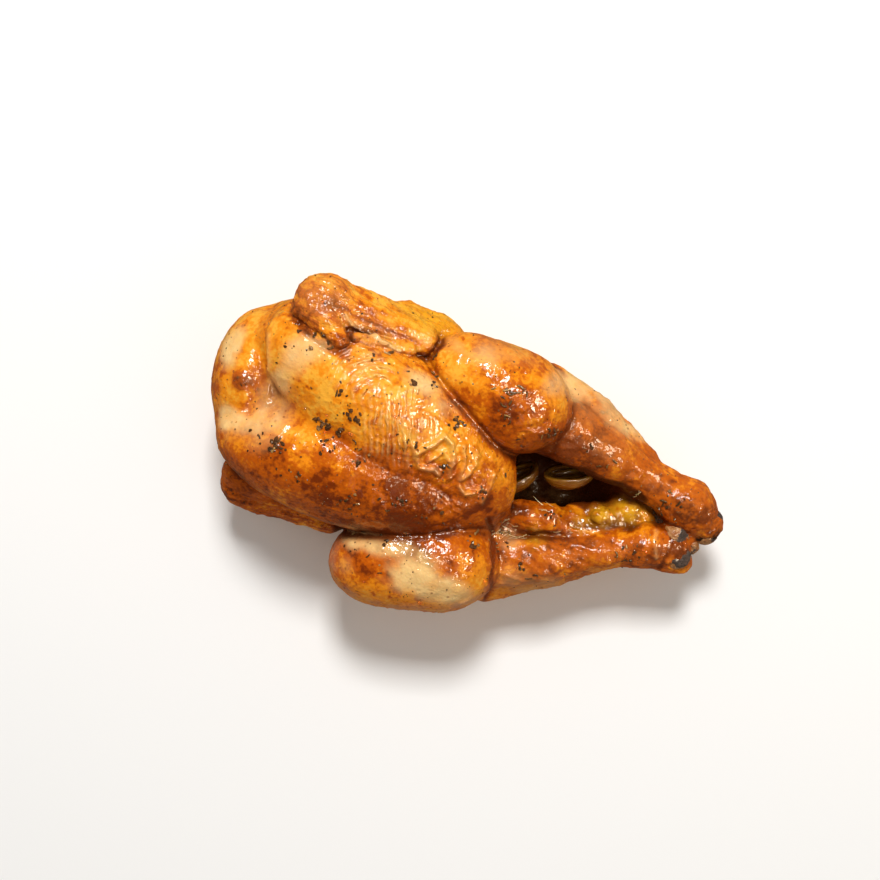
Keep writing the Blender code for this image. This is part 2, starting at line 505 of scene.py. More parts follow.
def gather(spots: tuple[Spot, ...], points: Array) -> Array:
    """The spots' weights added up.

    Args:
        spots: Places with amounts.
        points: Places to weigh.

    Returns:
        One sum for each place.
    """
    total = np.zeros(len(points))
    for spot in spots:
        total += spot.weight(points)
    return total


@dataclass(frozen=True)
class Line:
    """A soft line drawn over the top of the bird."""

    path: tuple[tuple[float, float], ...]
    width: float
    amount: float
    above: float = 30.0
    wander: float = 0.7

    def weight(self, points: Array) -> Array:
        """From amount on the line to 0 beside it.

        Args:
            points: Places, N by 3.

        Returns:
            One weight for each place.
        """
        flat = points[:, :2].copy()
        flat[:, 0] += self.wander * Noise(211).at(points, 6.0)
        flat[:, 1] += self.wander * Noise(223).at(points, 6.0)
        nearest = np.full(len(points), 1e6)
        for start, end in zip(self.path, self.path[1:]):
            nearest = np.minimum(nearest, along_segment(flat, start, end)[1])
        on_top = smoothstep(self.above - 3.0, self.above, points[:, 2])
        patchy = 0.72 + 0.4 * Noise(227).at(points, 9.0)
        return self.amount * patchy * np.exp(-nearest / (0.36 * self.width ** 2)) * on_top


@dataclass(frozen=True)
class Wrinkles:
    """Raised crests of drawn skin in one place."""

    spot: Spot
    heading: float
    spacing: float
    height: float
    fold: float = 0.0
    warp: float = 2.0
    seed: int = 1
    hub: tuple[float, float] | None = None

    def phase(self, points: Array) -> Array:
        """How many crests away each place is.

        Args:
            points: Places, N by 3.

        Returns:
            One count for each place.
        """
        angle = math.radians(self.heading)
        off = points - np.array(self.spot.centre)
        across = off[:, 0] * math.cos(angle) + off[:, 1] * math.sin(angle)
        along = -off[:, 0] * math.sin(angle) + off[:, 1] * math.cos(angle)
        if self.hub is not None:
            across = np.hypot(points[:, 0] - self.hub[0], points[:, 1] - self.hub[1])
        bend = self.warp * Noise(self.seed).layered(points, 11.0, 2)
        return (across + self.fold * np.abs(along + 0.8 * bend) + bend) / self.spacing

    def weight(self, points: Array) -> Array:
        """How strong the crests are at each place, from 0 to 1."""
        patchy = 0.35 + 0.65 * smoothstep(-0.5, 0.4, Noise(self.seed + 3).at(points, 7.0))
        return self.spot.weight(points) * patchy

    def relief(self, points: Array) -> Array:
        """Height of the crests at each place."""
        crest = (0.5 + 0.5 * np.cos(2.0 * math.pi * self.phase(points))) ** 2.2
        return self.height * self.weight(points) * crest


@dataclass
class SkinRelief:
    """Lumps, wrinkles, folds, grooves and tendons of the skin, as heights along its normals."""

    wrinkles: tuple[Wrinkles, ...] = (
        Wrinkles(Spot((2, 2, 88), 19), 100, 6.0, 0.9, fold=0.9, warp=1.4, seed=9),
        Wrinkles(Spot((-38, 9, 102), 23, squash=(1.0, 1.2, 2.4)), 19, 2.9, 0.9, warp=1.1, seed=12),
        Wrinkles(Spot((-62, 30, 100), 22), 0, 4.2, 1.2, warp=1.1, seed=15, hub=(-50.0, 18.0)),
        Wrinkles(Spot((-30, 28, 97), 15), 120, 4.6, 0.5, warp=2.4, seed=19),
        Wrinkles(Spot((0, -24, 74), 26), 70, 5.0, 0.4, warp=3.0, seed=23),
        Wrinkles(Spot((-75, -22, 84), 26), 60, 5.5, 0.3, warp=3.0, seed=27),
        Wrinkles(Spot((12, 42, 92), 22), 128, 6.5, 0.55, warp=2.6, seed=31),
        Wrinkles(Spot((26, 34, 84), 18), 120, 5.5, 0.5, warp=2.6, seed=33),
    )
    folds: tuple[Line, ...] = (
        Line(((-22, 1), (-19.5, 4.6), (-16.2, 7.4), (-13.1, 12.2), (-8.2, 10.4), (-5.2, 4.0), (-3.8, -5.0)),
             2.6, 2.9, wander=0.5),
        Line(((-16.5, -2.0), (-13.1, 2.2), (-10.3, 5.8), (-6.9, 1.7)), 2.0, 2.0, wander=0.5),
        Line(((-25.5, 3.4), (-22.5, -2.0), (-18.8, -6.0), (-12.3, -4.4), (-9.0, -5.6)), 2.5, 2.6, wander=0.5),
        Line(((-2.0, 11.0), (1.0, 4.0), (1.4, -4.6), (4.2, -1.0), (6.2, 5.0), (4.6, 11.5)), 2.4, 2.4, wander=0.5),
        Line(((2.8, -8.0), (6.3, -10.6), (10.5, -9.2), (13.6, -6.0)), 2.4, 2.3, wander=0.5),
        Line(((16.9, 3.0), (17.2, -4.4), (15.8, -12.1)), 2.5, 1.9, wander=0.5),
        Line(((-31, 5), (-27, -3), (-25, -9)), 2.4, 1.2, wander=0.5),
        Line(((-112, 31), (-109, 22), (-106, 12), (-104, 0)), 2.2, 1.6),
        Line(((-79.3, 52.4), (-70, 49.4), (-61.7, 47.4), (-47.9, 46.2)), 1.6, 1.7, wander=1.4),
        Line(((-84, 61.5), (-66, 62.0), (-44, 62.5)), 2.2, 1.2, wander=1.6),
        Line(((109.2, 2.8), (111.2, -4.7), (113.4, -9.9)), 1.6, 0.9),
        Line(((-33, 57), (-17.3, 66.0), (-3, 72.6)), 3.0, 1.3),
        Line(((-9, 66), (6, 64), (16, 58)), 2.6, 0.9),
    )
    grooves: tuple[Line, ...] = (
        Line(((-66, -3), (-50, -9.5), (-30, -13.5), (-12, -12.5), (0, -15)), 4.6, 1.7),
        Line(((-118, 47), (-116, 34), (-112.5, 20), (-110, 6), (-111, -8)), 5.0, 2.1, wander=1.8),
        Line(((-104, 50), (-98, 40), (-86, 34.5), (-74, 33)), 2.2, 1.6, wander=1.2),
        Line(((-86, 57), (-76, 56.6), (-60, 55.0), (-46, 53.5)), 1.7, 1.1, wander=1.6),
        Line(((24.7, 69), (37, 64), (44, 54.6), (46.6, 41.8), (44.6, 27), (40, 16)), 2.0, 1.1, 40.0, 1.6),
        Line(((24, -20), (30, -30.6), (34, -40.7), (36.6, -52.6), (37, -66)), 1.9, 1.1, 24.0, 1.8),
        Line(((7, 12), (20, 6), (25, 0)), 1.6, 0.8),
        Line(((105.6, 4), (108, -5), (110, -12)), 1.5, 1.0),
        Line(((117, 8), (118.5, 0), (119, -8), (118, -14)), 1.6, 0.7),
    )

    def height(self, points: Array, normals: Array, masks: dict[str, Array]) -> Array:
        """How far each place stands proud.

        Args:
            points: Places, N by 3.
            normals: The skin's normals there.
            masks: Named weights from the skin tone.

        Returns:
            One height for each place.
        """
        outer = 1.0 - masks["inner"]
        total = 1.1 * Noise(41).layered(points, 26.0, 2)
        total += 0.42 * Noise(43).layered(points, 9.0, 2) * (0.55 + masks["leg"])
        total += 0.2 * Noise(47).layered(points, 3.4, 2)
        total += self.drawn(points, normals) * outer
        total += self._creases(points, masks)
        total += self._tendons(points, masks)
        total += 0.9 * masks["inner"] * Noise(53).layered(points, 7.0, 3)
        total += masks["char"] * 0.8 * Noise(59).layered(points, 3.2, 2)
        total += masks["fat"] * (1.1 * Noise(61).layered(points, 6.0, 2) + 0.9 * Noise(62).ridged(points, 3.6, 2.0))
        rolled = 0.8 * Noise(63).ridged(points, (9.0, 4.0, 4.0), 2.0) + Noise(65).layered(points, 4.4, 3)
        total += masks["roll"] * rolled
        total += masks["rim"] * 0.7 * Noise(67).ridged(points, (6.0, 3.0, 2.2), 2.4)
        return total

    def drawn(self, points: Array, normals: Array) -> Array:
        """Crests and grooves of skin drawn tight by the heat.

        Args:
            points: Places, N by 3.
            normals: The skin's normals there.

        Returns:
            One height for each place.
        """
        total = np.zeros(len(points))
        for wrinkle in self.wrinkles:
            total += wrinkle.relief(points)
        upward = smoothstep(0.0, 0.35, normals[:, 2])
        for fold in self.folds:
            total += fold.weight(points) * upward
        for groove in self.grooves:
            total -= groove.weight(points) * upward
        return total

    def _creases(self, points: Array, masks: dict[str, Array]) -> Array:
        """Fine crossing crests over the whole skin.

        Args:
            points: Places, N by 3.
            masks: Named weights from the skin tone.

        Returns:
            One height for each place.
        """
        fine = Noise(71).ridged(points, (6.5, 6.5, 6.5), 3.2)
        coarse = Noise(73).ridged(points, (13.0, 10.0, 11.0), 4.5)
        return (0.14 * fine + 0.22 * coarse) * (0.4 + 0.9 * masks["breast"])

    def _tendons(self, points: Array, masks: dict[str, Array]) -> Array:
        """Streaks that run along the shanks and wings.

        Args:
            points: Places, N by 3.
            masks: Named weights from the skin tone.

        Returns:
            One height for each place.
        """
        streak = Noise(79).ridged(points, (26.0, 4.6, 4.6), 2.0)
        fine = Noise(83).at(points, (12.0, 2.8, 2.8))
        rough = Noise(89).layered(points, 3.2, 2)
        shank = masks["shank"] * (0.75 * streak + 0.3 * fine + 0.45 * rough)
        return shank + masks["wing"] * (0.35 * streak + 0.25 * fine + 0.75 * rough)


@dataclass
class SkinTone:
    """How brown, pale, charred or fatty each place is, and where shade is painted into its creases, grooves and cavity.
    """

    roast_base: float = 0.36
    browned_and_lobe_shade: tuple[Spot, ...] = (
        Spot((-6, -20, 78), 30, 0.16), Spot((22, -12, 64), 22, 0.20), Spot((8, -4, 82), 18, 0.10),
        # Spot((-45, -34, 74)) darkens the lower right lobe: partly its real browning, partly painted shade of the side
        # turned from the light
        Spot((14, 44, 92), 34, 0.12), Spot((-45, -34, 74), 52, 0.42),
        Spot((-4, -36, 56), 44, 0.28), Spot((-90, -30, 74), 26, 0.16), Spot((20, 30, 76), 30, 0.22),
        Spot((-12, 30, 88), 15, 0.26), Spot((40, 26, 74), 20, 0.22), Spot((-95, 52, 92), 20, 0.28),
        Spot((-108, -40, 36), 50, 0.38), Spot((-76, 40, 97), 10, 0.45), Spot((-118, 6, 82), 8, 0.4),
        Spot((-131, 4, 60), 16, 0.22), Spot((128, 14, 46), 26, 0.30),
        Spot((60, 32, 60), 34, 0.24), Spot((100, 24, 50), 24, 0.16), Spot((-26, -12, 92), 18, 0.10),
        Spot((28, 12, 70), 12, 0.20), Spot((45, -12, 46), 26, 0.24, (1.6, 0.7, 2.2)),
        Spot((34, -36, 46), 10, 0.24), Spot((-30, -66, 60), 14, 0.14), Spot((-30, -48, 66), 10, 0.12),
        Spot((110, -6, 48), 30, 0.26), Spot((72, -26, 46), 24, 0.16), Spot((-66, -4, 100), 12, 0.16),
        Spot((-92, -20, 86), 12, 0.2),
        Spot((56, -38, 40), 20, 0.14), Spot((-55, 58, 82), 16, 0.12),
    )
    paled: tuple[Spot, ...] = (
        Spot((-95, 27, 100), 13, 0.8, (0.9, 1.2, 2.2)), Spot((-129, 20, 78), 14, 1.2, (0.7, 1.1, 2.2)),
        Spot((-86, 33, 100), 10, 0.6), Spot((-101, -6, 88), 20, 0.72, (0.9, 1.2, 2.2)),
        Spot((-120, -14, 78), 12, 0.7), Spot((-100, 12, 90), 10, 0.8),
        Spot((-60, 34, 100), 10, 0.6, (1.5, 0.8, 2.2)), Spot((-34, 33, 95), 11, 0.95, (1.6, 0.7, 2.2)),
        Spot((-18, 25, 92), 10, 0.5, (1.6, 0.8, 2.2)), Spot((-116, -16, 74), 14, 0.45),
        Spot((4, -62, 76), 20, 1.3, (1.8, 0.6, 2.2)), Spot((-34, -52, 72), 13, 1.0, (1.8, 0.7, 2.2)),
        Spot((-8, -50, 80), 13, 0.7, (1.6, 0.7, 2.2)), Spot((-36, -66, 60), 9, 0.5),
        Spot((48, 60, 50), 24, 0.9, (1.6, 0.6, 2.2)), Spot((78, 49, 44), 16, 0.8, (1.8, 0.6, 2.2)),
        Spot((60, -46, 34), 24, 0.6, (1.6, 0.5, 2.2)), Spot((-10, 58, 88), 14, 0.5, (1.8, 0.7, 2.2)),
        Spot((30, 54, 80), 11, 0.55), Spot((-104, 58, 84), 6, 0.3), Spot((38, -26, 54), 9, 0.5),
    )
    pale_lines: tuple[Line, ...] = (
        Line(((-79.3, 52.4), (-70, 49.4), (-61.7, 47.4), (-47.9, 46.2)), 2.0, 1.0),
        Line(((109.2, 2.8), (111.2, -4.7), (113.4, -9.9)), 1.5, 0.4),
        Line(((-112, 31), (-109, 22), (-106, 12)), 2.6, 0.5),
    )
    # Painted shade along the grooves and seams between breast, legs, wings, neck and ankle, plus one dark juice smear
    # below the breast tip
    groove_shade_and_smear_lines: tuple[Line, ...] = (
        Line(((-89.5, 56), (-77.6, 55.6), (-60, 53.6), (-42, 53.5)), 2.0, 0.40),
        Line(((-104, 50), (-98, 40), (-84, 34.5), (-70, 33)), 2.2, 0.35),
        Line(((24.7, 69), (37, 64), (44, 54.6), (46.6, 41.8), (44.6, 27), (40, 16)), 2.2, 0.55, 40.0),
        Line(((24, -20), (30, -30.6), (34, -40.7), (36.6, -52.6), (37, -66)), 2.2, 0.6, 24.0),
        Line(((-117, 45), (-116, 34), (-112.5, 20), (-110, 6), (-111, -8)), 3.4, 0.08),
        Line(((-66, -6), (-50, -12), (-30, -16), (-12, -15.5), (0, -17.5)), 5.5, 0.12),
        # the dark juice smear below the breast tip, a stain on the skin itself
        Line(((20, -8), (17.5, -14), (11, -21)), 2.8, 0.45),
        Line(((117, 8), (118.5, 0), (119, -8), (118, -14)), 1.8, 0.5),
    )
    yellowed: tuple[Spot, ...] = (
        Spot((80, 0, 41), 10, 1.0), Spot((92, 7, 38), 12, 1.0), Spot((102, 10, 34), 12, 0.8),
        Spot((-40, 66, 70), 20, 0.7, (1.3, 0.6, 2.2)), Spot((72, -7, 38), 9, 0.8),
        Spot((50, -22, 46), 10, 0.5),
    )
    charred: tuple[Spot, ...] = (
        Spot((141, 10, 42), 7, 0.8), Spot((134, 6, 46), 4.5, 0.7), Spot((-73, 37, 98), 5, 0.3),
        Spot((120, 16, 54), 9, 0.25), Spot((36, 44, 72), 6, 0.2),
    )
    pinked: tuple[Spot, ...] = (
        Spot((2, 64, 80), 15, 0.9, (1.7, 0.7, 2.2)), Spot((-92, 58, 92), 22, 0.85),
        Spot((-64, 50, 92), 18, 0.5, (1.6, 0.7, 2.2)),
        Spot((52, 46, 58), 13, 0.6), Spot((70, 38, 54), 16, 0.4), Spot((-113, 8, 78), 13, 0.5),
        Spot((-28, 12, 97), 14, 0.35), Spot((60, -46, 34), 22, 0.7, (1.6, 0.6, 2.2)),
    )

    dulled: tuple[Spot, ...] = (
        Spot((-18, -20, 86), 15, 0.95), Spot((-2, -22, 76), 16, 0.95), Spot((-40, -18, 90), 13, 0.7),
        Spot((20, -20, 66), 14, 0.6), Spot((-60, -20, 86), 16, 0.6),
    )

    def masks(self, points: Array, normals: Array, clay: Clay) -> dict[str, Array]:
        """All the masks by name, each from 0 to 1.

        Args:
            points: Places, N by 3.
            normals: The skin's normals there.
            clay: The field that the skin was drawn round.

        Returns:
            Masks by name.
        """
        made = self._regions(points, normals)
        # fold: how closed in each place is, from the field sampled 5 and 12 mm out along the normal; below it paints
        # shade into creases and gaps
        gap = clay.sample(points + 5.0 * normals) / 5.0
        wide_gap = clay.sample(points + 12.0 * normals) / 12.0
        fold = np.clip(1.0 - gap, 0.0, 1.0)
        made["fold"] = np.clip(0.95 * fold + 0.18 * np.clip(0.9 - wide_gap, 0.0, 1.0) - 0.08, 0.0, 1.0)
        cloudy = Noise(101).layered(points, 24.0, 3)
        patchy = Noise(103).layered(points, 9.0, 3)
        # dark gathers the painted groove shade and the tip smear; it darkens the roast and the crease mask below
        dark = np.zeros(len(points))
        for line in self.groove_shade_and_smear_lines:
            dark = np.maximum(dark, line.weight(points))
        roast = self.roast_base + gather(self.browned_and_lobe_shade, points) + 0.13 * cloudy + 0.11 * patchy
        # 0.34 of fold is painted shade in the creases; 0.4 of inner darkens the cavity walls, partly their own browning
        # and partly painted shade of the hollow
        roast += 0.19 * made["shank"] + 0.05 * made["leg"] + 0.34 * made["fold"] + 0.4 * made["inner"]
        roast += dark + 0.06 * made["roll"]
        freckle = Noise(119).layered(points, 4.6, 2)
        roast += 0.22 * smoothstep(0.25, 0.75, freckle) + 0.10 * smoothstep(0.1, 0.8, patchy)
        under = smoothstep(-0.05, -0.75, normals[:, 2]) * (1.0 - made["inner"])
        roast -= 0.12 * under
        pale = gather(self.paled, points)
        pale *= smoothstep(-0.75, 0.25, Noise(107).layered(points, 12.0, 3) + 0.7 * (pale - 0.5))
        for line in self.pale_lines:
            pale = np.maximum(pale, line.weight(points))
        pale = np.maximum(pale, 0.55 * under)
        made["roast"] = np.clip(roast, 0.0, 1.0)
        # crease: painted shade in the folds and along the grooves, darkest where the field closes in
        made["crease"] = np.clip(1.9 * made["fold"] ** 1.5 + 0.6 * dark, 0.0, 1.0) * (1.0 - 0.6 * under)
        # pale cream is taken out of the folds as painted shade
        made["pale"] = np.clip(pale, 0.0, 1.0) * (1.0 - 0.8 * made["fold"])
        ragged = 0.5 + 0.5 * Noise(109).layered(points, 4.0, 2)
        made["char"] = np.clip(gather(self.charred, points) * (0.6 + 0.8 * ragged), 0.0, 1.0)
        made["fat"] = np.clip(gather(self.yellowed, points), 0.0, 1.0) * smoothstep(24.0, 32.0, points[:, 2])
        made["inner"] = made["inner"] * (1.0 - made["fat"])
        tanned = gather(self.pinked, points) + 0.18 * made["shank"]
        made["pink"] = np.clip(tanned * (0.6 + 0.6 * ragged), 0.0, 1.0)
        return made

    def _regions(self, points: Array, normals: Array) -> dict[str, Array]:
        """Which part of the bird each place is on.

        Args:
            points: Places, N by 3.
            normals: The skin's normals there.

        Returns:
            Masks by name.
        """
        x, y, z = points.T
        own = POSE.local(points)
        breast = smoothstep(4.0, 22.0, own[:, 2]) * smoothstep(80.0, 62.0, own[:, 0])
        breast *= smoothstep(54.0, 44.0, np.abs(own[:, 1]))
        left = smoothstep(42.0, 47.0, x) * smoothstep(10.0, 16.0, y - 0.05 * (100.0 - x))
        right = smoothstep(32.0, 38.0, x) * smoothstep(0.0, -6.0, y - 0.5 * (x - 112.0) / 2.0)
        shank = np.clip(np.maximum(left, right) * smoothstep(26.0, 32.0, z), 0.0, 1.0)
        left_muscle = smoothstep(48.0, 42.0, x) * smoothstep(-40.0, -32.0, x) * smoothstep(12.0, 20.0, y)
        right_muscle = smoothstep(38.0, 32.0, x) * smoothstep(-54.0, -46.0, x) * smoothstep(-26.0, -32.0, y)
        leg = np.clip(left_muscle + right_muscle, 0.0, 1.0) * smoothstep(16.0, 30.0, z)
        left_wing = smoothstep(-22.0, -30.0, x) * smoothstep(34.0, 40.0, y) * smoothstep(44.0, 54.0, z)
        left_wing *= smoothstep(46.0, 50.0, own[:, 1] + 0.28 * (z - 60.0))
        right_wing = smoothstep(-50.0, -58.0, x) * smoothstep(-36.0, -40.0, y) * smoothstep(48.0, 44.0, z)
        cave = np.sqrt(((own - (8, 0, -9)) / (74.0, 34.0, 30.0)) ** 2 @ np.ones(3))
        mouth = self._near_segment(points, (0, 3, 43), (60, 10, 44), (26.0, 21.5))
        trough = self._near_segment(points, (60, 10, 44), (90, 8, 54), (21.5, 12.5))
        inner = np.maximum(smoothstep(1.04, 0.98, cave), np.maximum(mouth, trough))
        rolls = self._near_segment(points, (30, -14, 48), (66, -8, 43), (11.5, 9.0))
        lean = normals[:, 2] + 0.16 * Noise(113).layered(points, 8.0, 3)
        under_edge = smoothstep(0.60, 0.42, lean) * smoothstep(0.02, 0.24, lean)
        under_edge *= smoothstep(-0.7, 0.3, Noise(117).layered(points, 6.0, 2))
        bulge = smoothstep(-52.0, -46.0, x) * smoothstep(40.0, 34.0, x) * smoothstep(-48.0, -56.0, y)
        strip = smoothstep(36.0, 42.0, x) * smoothstep(106.0, 90.0, x) * smoothstep(-14.0, -20.0, y)
        rim = under_edge * smoothstep(14.0, 30.0, z) * np.maximum(bulge, 0.25 * strip)
        return {
            "breast": breast, "shank": shank, "leg": leg, "inner": np.clip(inner * (1.0 - 0.8 * rolls), 0.0, 1.0),
            "wing": np.clip(left_wing + right_wing, 0.0, 1.0), "rim": np.clip(rim, 0.0, 1.0),
            "roll": rolls,
        }

    @staticmethod
    def _near_segment(points: Array, start: Triple, end: Triple, radii: tuple[float, float]) -> Array:
        """1 within a tapered rod and 0 outside it.

        Args:
            points: Places, N by 3.
            start: Middle of the rod's first end.
            end: Middle of its other end.
            radii: Radius at each end.

        Returns:
            One weight for each place.
        """
        share, squared = along_segment(points, start, end)
        radius = radii[0] + (radii[1] - radii[0]) * share
        return smoothstep(1.5, -0.5, np.sqrt(squared) - radius)


class Shader:
    """A material's node tree, with short calls to add and link nodes."""

    def __init__(self, name: str) -> None:
        """Start a material.

        Args:
            name: The material's name.
        """
        self.material = bpy.data.materials.new(name)
        self.material.use_nodes = True
        self.nodes = self.material.node_tree.nodes
        self.links = self.material.node_tree.links
        self.skin = self.nodes["Principled BSDF"]

    def node(self, kind: str, **values: object) -> bpy.types.Node:
        """Add a node.

        Args:
            kind: The node's type.
            values: Its settings.

        Returns:
            The node.
        """
        made = self.nodes.new(kind)
        for key, value in values.items():
            setattr(made, key, value)
        return made

    def link(self, source: Socket, target: Socket) -> None:
        """Join two sockets."""
        self.links.new(source, target)

    def feed(self, target: Socket, value: object) -> None:
        """Link a socket, or set a plain value."""
        if isinstance(value, Socket):
            self.link(value, target)
        else:
            target.default_value = value

    def attribute(self, name: str) -> Socket:
        """A mask of the mesh by its name."""
        return self.node("ShaderNodeAttribute", attribute_name=name).outputs["Fac"]

    def place(self) -> Socket:
        """Position in the object's own space."""
        return self.node("ShaderNodeTexCoord").outputs["Object"]

    def crinkle(self, place: object, scale: float, twist: float = 0.0, detail: float = 2.0) -> Socket:
        """Plain noise from 0 to 1.

        Args:
            place: Position in space.
            scale: Its scale.
            twist: How far it is twisted.
            detail: How fine it goes.

        Returns:
            The noise.
        """
        made = self.node("ShaderNodeTexNoise")
        self.link(place, made.inputs["Vector"])
        made.inputs["Scale"].default_value = scale
        made.inputs["Distortion"].default_value = twist
        made.inputs["Detail"].default_value = detail
        return made.outputs["Fac"]

    def math(self, operation: str, a: object, b: object = 0.0, clamp: bool = False) -> Socket:
        """Add a math node.

        Args:
            operation: Its operation.
            a: First value or socket.
            b: Second value or socket.
            clamp: Keep the result from 0 to 1.

        Returns:
            The result.
        """
        made = self.node("ShaderNodeMath", operation=operation, use_clamp=clamp)
        self.feed(made.inputs[0], a)
        self.feed(made.inputs[1], b)
        return made.outputs[0]

    def times(self, a: object, b: object, clamp: bool = False) -> Socket:
        """One value or socket times another."""
        return self.math("MULTIPLY", a, b, clamp)

    def plus(self, a: object, b: object, clamp: bool = False) -> Socket:
        """One value or socket plus another."""
        return self.math("ADD", a, b, clamp)

    def swing(self, value: object, amount: float) -> Socket:
        """A value from 0 to 1 made to swing about 0, amount from end to end."""
        return self.times(self.math("SUBTRACT", value, 0.5), amount)

    def set(self, values: dict[str, object]) -> None:
        """Set the shader's own sockets to plain values."""
        for name, value in values.items():
            self.skin.inputs[name].default_value = value

    def bump(self, height: object, strength: float, distance: float, below: object = None) -> Socket:
        """Turn a height into a normal.

        Args:
            height: The height's socket.
            strength: Strength from 0 to 1.
            distance: How high 1 stands, in metres.
            below: The normal that it stands on, or None for the mesh's own.

        Returns:
            The normal.
        """
        made = self.node("ShaderNodeBump")
        made.inputs["Strength"].default_value = strength
        made.inputs["Distance"].default_value = distance
        self.link(height, made.inputs["Height"])
        if below is not None:
            self.link(below, made.inputs["Normal"])
        return made.outputs["Normal"]

    def mix(self, share: object, a: object, b: object) -> Socket:
        """Mix two colours.

        Args:
            share: How much of the second.
            a: First colour.
            b: Second colour.

        Returns:
            The mixed colour.
        """
        made = self.node("ShaderNodeMix", data_type="RGBA")
        self.feed(made.inputs["Factor"], share)
        self.feed(made.inputs["A"], a)
        self.feed(made.inputs["B"], b)
        return made.outputs["Result"]

    def ramp(self, value: object, stops: list[tuple[float, Colour]]) -> Socket:
        """Colour from a value.

        Args:
            value: A socket from 0 to 1.
            stops: Places from 0 to 1 with their colours.

        Returns:
            The colour.
        """
        made = self.node("ShaderNodeValToRGB")
        band = made.color_ramp
        band.interpolation = "EASE"
        while len(band.elements) < len(stops):
            band.elements.new(1.0)
        for element, (position, colour) in zip(band.elements, stops):
            element.position = position
            element.color = (*colour, 1.0)
        self.feed(made.inputs["Fac"], value)
        return made.outputs["Color"]

    def group(self, tree: NodeTree, **values: object) -> bpy.types.Node:
        """Place a node group.

        Args:
            tree: The group.
            values: Its inputs by name.

        Returns:
            The node.
        """
        made = self.node("ShaderNodeGroup", node_tree=tree)
        for key, value in values.items():
            self.feed(made.inputs[key], value)
        return made


class Effects:
    """Shader node groups that several finishes share, each built once."""

    def __init__(self) -> None:
        """Build the groups."""
        self.mottle = self._mottle()
        self.specks = self._specks()

    @staticmethod
    def _start(name: str, inputs: dict[str, float], outputs: list[str]) -> tuple:
        """Start a group.

        Args:
            name: The group's name.
            inputs: Its number inputs with their defaults; Place is always there.
            outputs: Its outputs.

        Returns:
            The group, its input node and its output node.
        """
        tree = bpy.data.node_groups.new(name, "ShaderNodeTree")
        tree.interface.new_socket("Place", in_out="INPUT", socket_type="NodeSocketVector")
        for key, value in inputs.items():
            made = tree.interface.new_socket(key, in_out="INPUT", socket_type="NodeSocketFloat")
            made.default_value = value
        for key in outputs:
            tree.interface.new_socket(key, in_out="OUTPUT", socket_type="NodeSocketFloat")
        return tree, tree.nodes.new("NodeGroupInput"), tree.nodes.new("NodeGroupOutput")

    def _mottle(self) -> NodeTree:
        """Cloudy blotches with a sharper edge than plain noise, from 0 to 1."""
        inputs = {"Scale": 100.0, "Detail": 5.0, "Low": 0.35, "High": 0.65}
        tree, start, end = self._start("mottle", inputs, ["Mask"])
        cloud = tree.nodes.new("ShaderNodeTexNoise")
        edge = tree.nodes.new("ShaderNodeMapRange")
        edge.interpolation_type = "SMOOTHSTEP"
        for source, target in (
            (start.outputs["Place"], cloud.inputs["Vector"]),
            (start.outputs["Scale"], cloud.inputs["Scale"]),
            (start.outputs["Detail"], cloud.inputs["Detail"]),
            (cloud.outputs["Fac"], edge.inputs["Value"]),
            (start.outputs["Low"], edge.inputs["From Min"]),
            (start.outputs["High"], edge.inputs["From Max"]),
            (edge.outputs["Result"], end.inputs["Mask"]),
        ):
            tree.links.new(source, target)
        return tree

    def _specks(self) -> NodeTree:
        """Small round specks at random places, from 0 between them to 1 on them."""
        inputs = {"Scale": 400.0, "Radius": 0.25, "Share": 0.3}
        tree, start, end = self._start("specks", inputs, ["Mask"])
        cells = tree.nodes.new("ShaderNodeTexVoronoi")
        edge = tree.nodes.new("ShaderNodeMapRange")
        edge.interpolation_type = "SMOOTHSTEP"
        edge.inputs["From Max"].default_value = 0.0
        split = tree.nodes.new("ShaderNodeSeparateColor")
        pick = tree.nodes.new("ShaderNodeMath")
        pick.operation = "LESS_THAN"
        both = tree.nodes.new("ShaderNodeMath")
        both.operation = "MULTIPLY"
        for source, target in (
            (start.outputs["Place"], cells.inputs["Vector"]),
            (start.outputs["Scale"], cells.inputs["Scale"]),
            (cells.outputs["Distance"], edge.inputs["Value"]),
            (start.outputs["Radius"], edge.inputs["From Min"]),
            (cells.outputs["Color"], split.inputs["Color"]),
            (split.outputs["Red"], pick.inputs[0]),
            (start.outputs["Share"], pick.inputs[1]),
            (edge.outputs["Result"], both.inputs[0]),
            (pick.outputs[0], both.inputs[1]),
            (both.outputs[0], end.inputs["Mask"]),
        ):
            tree.links.new(source, target)
        return tree


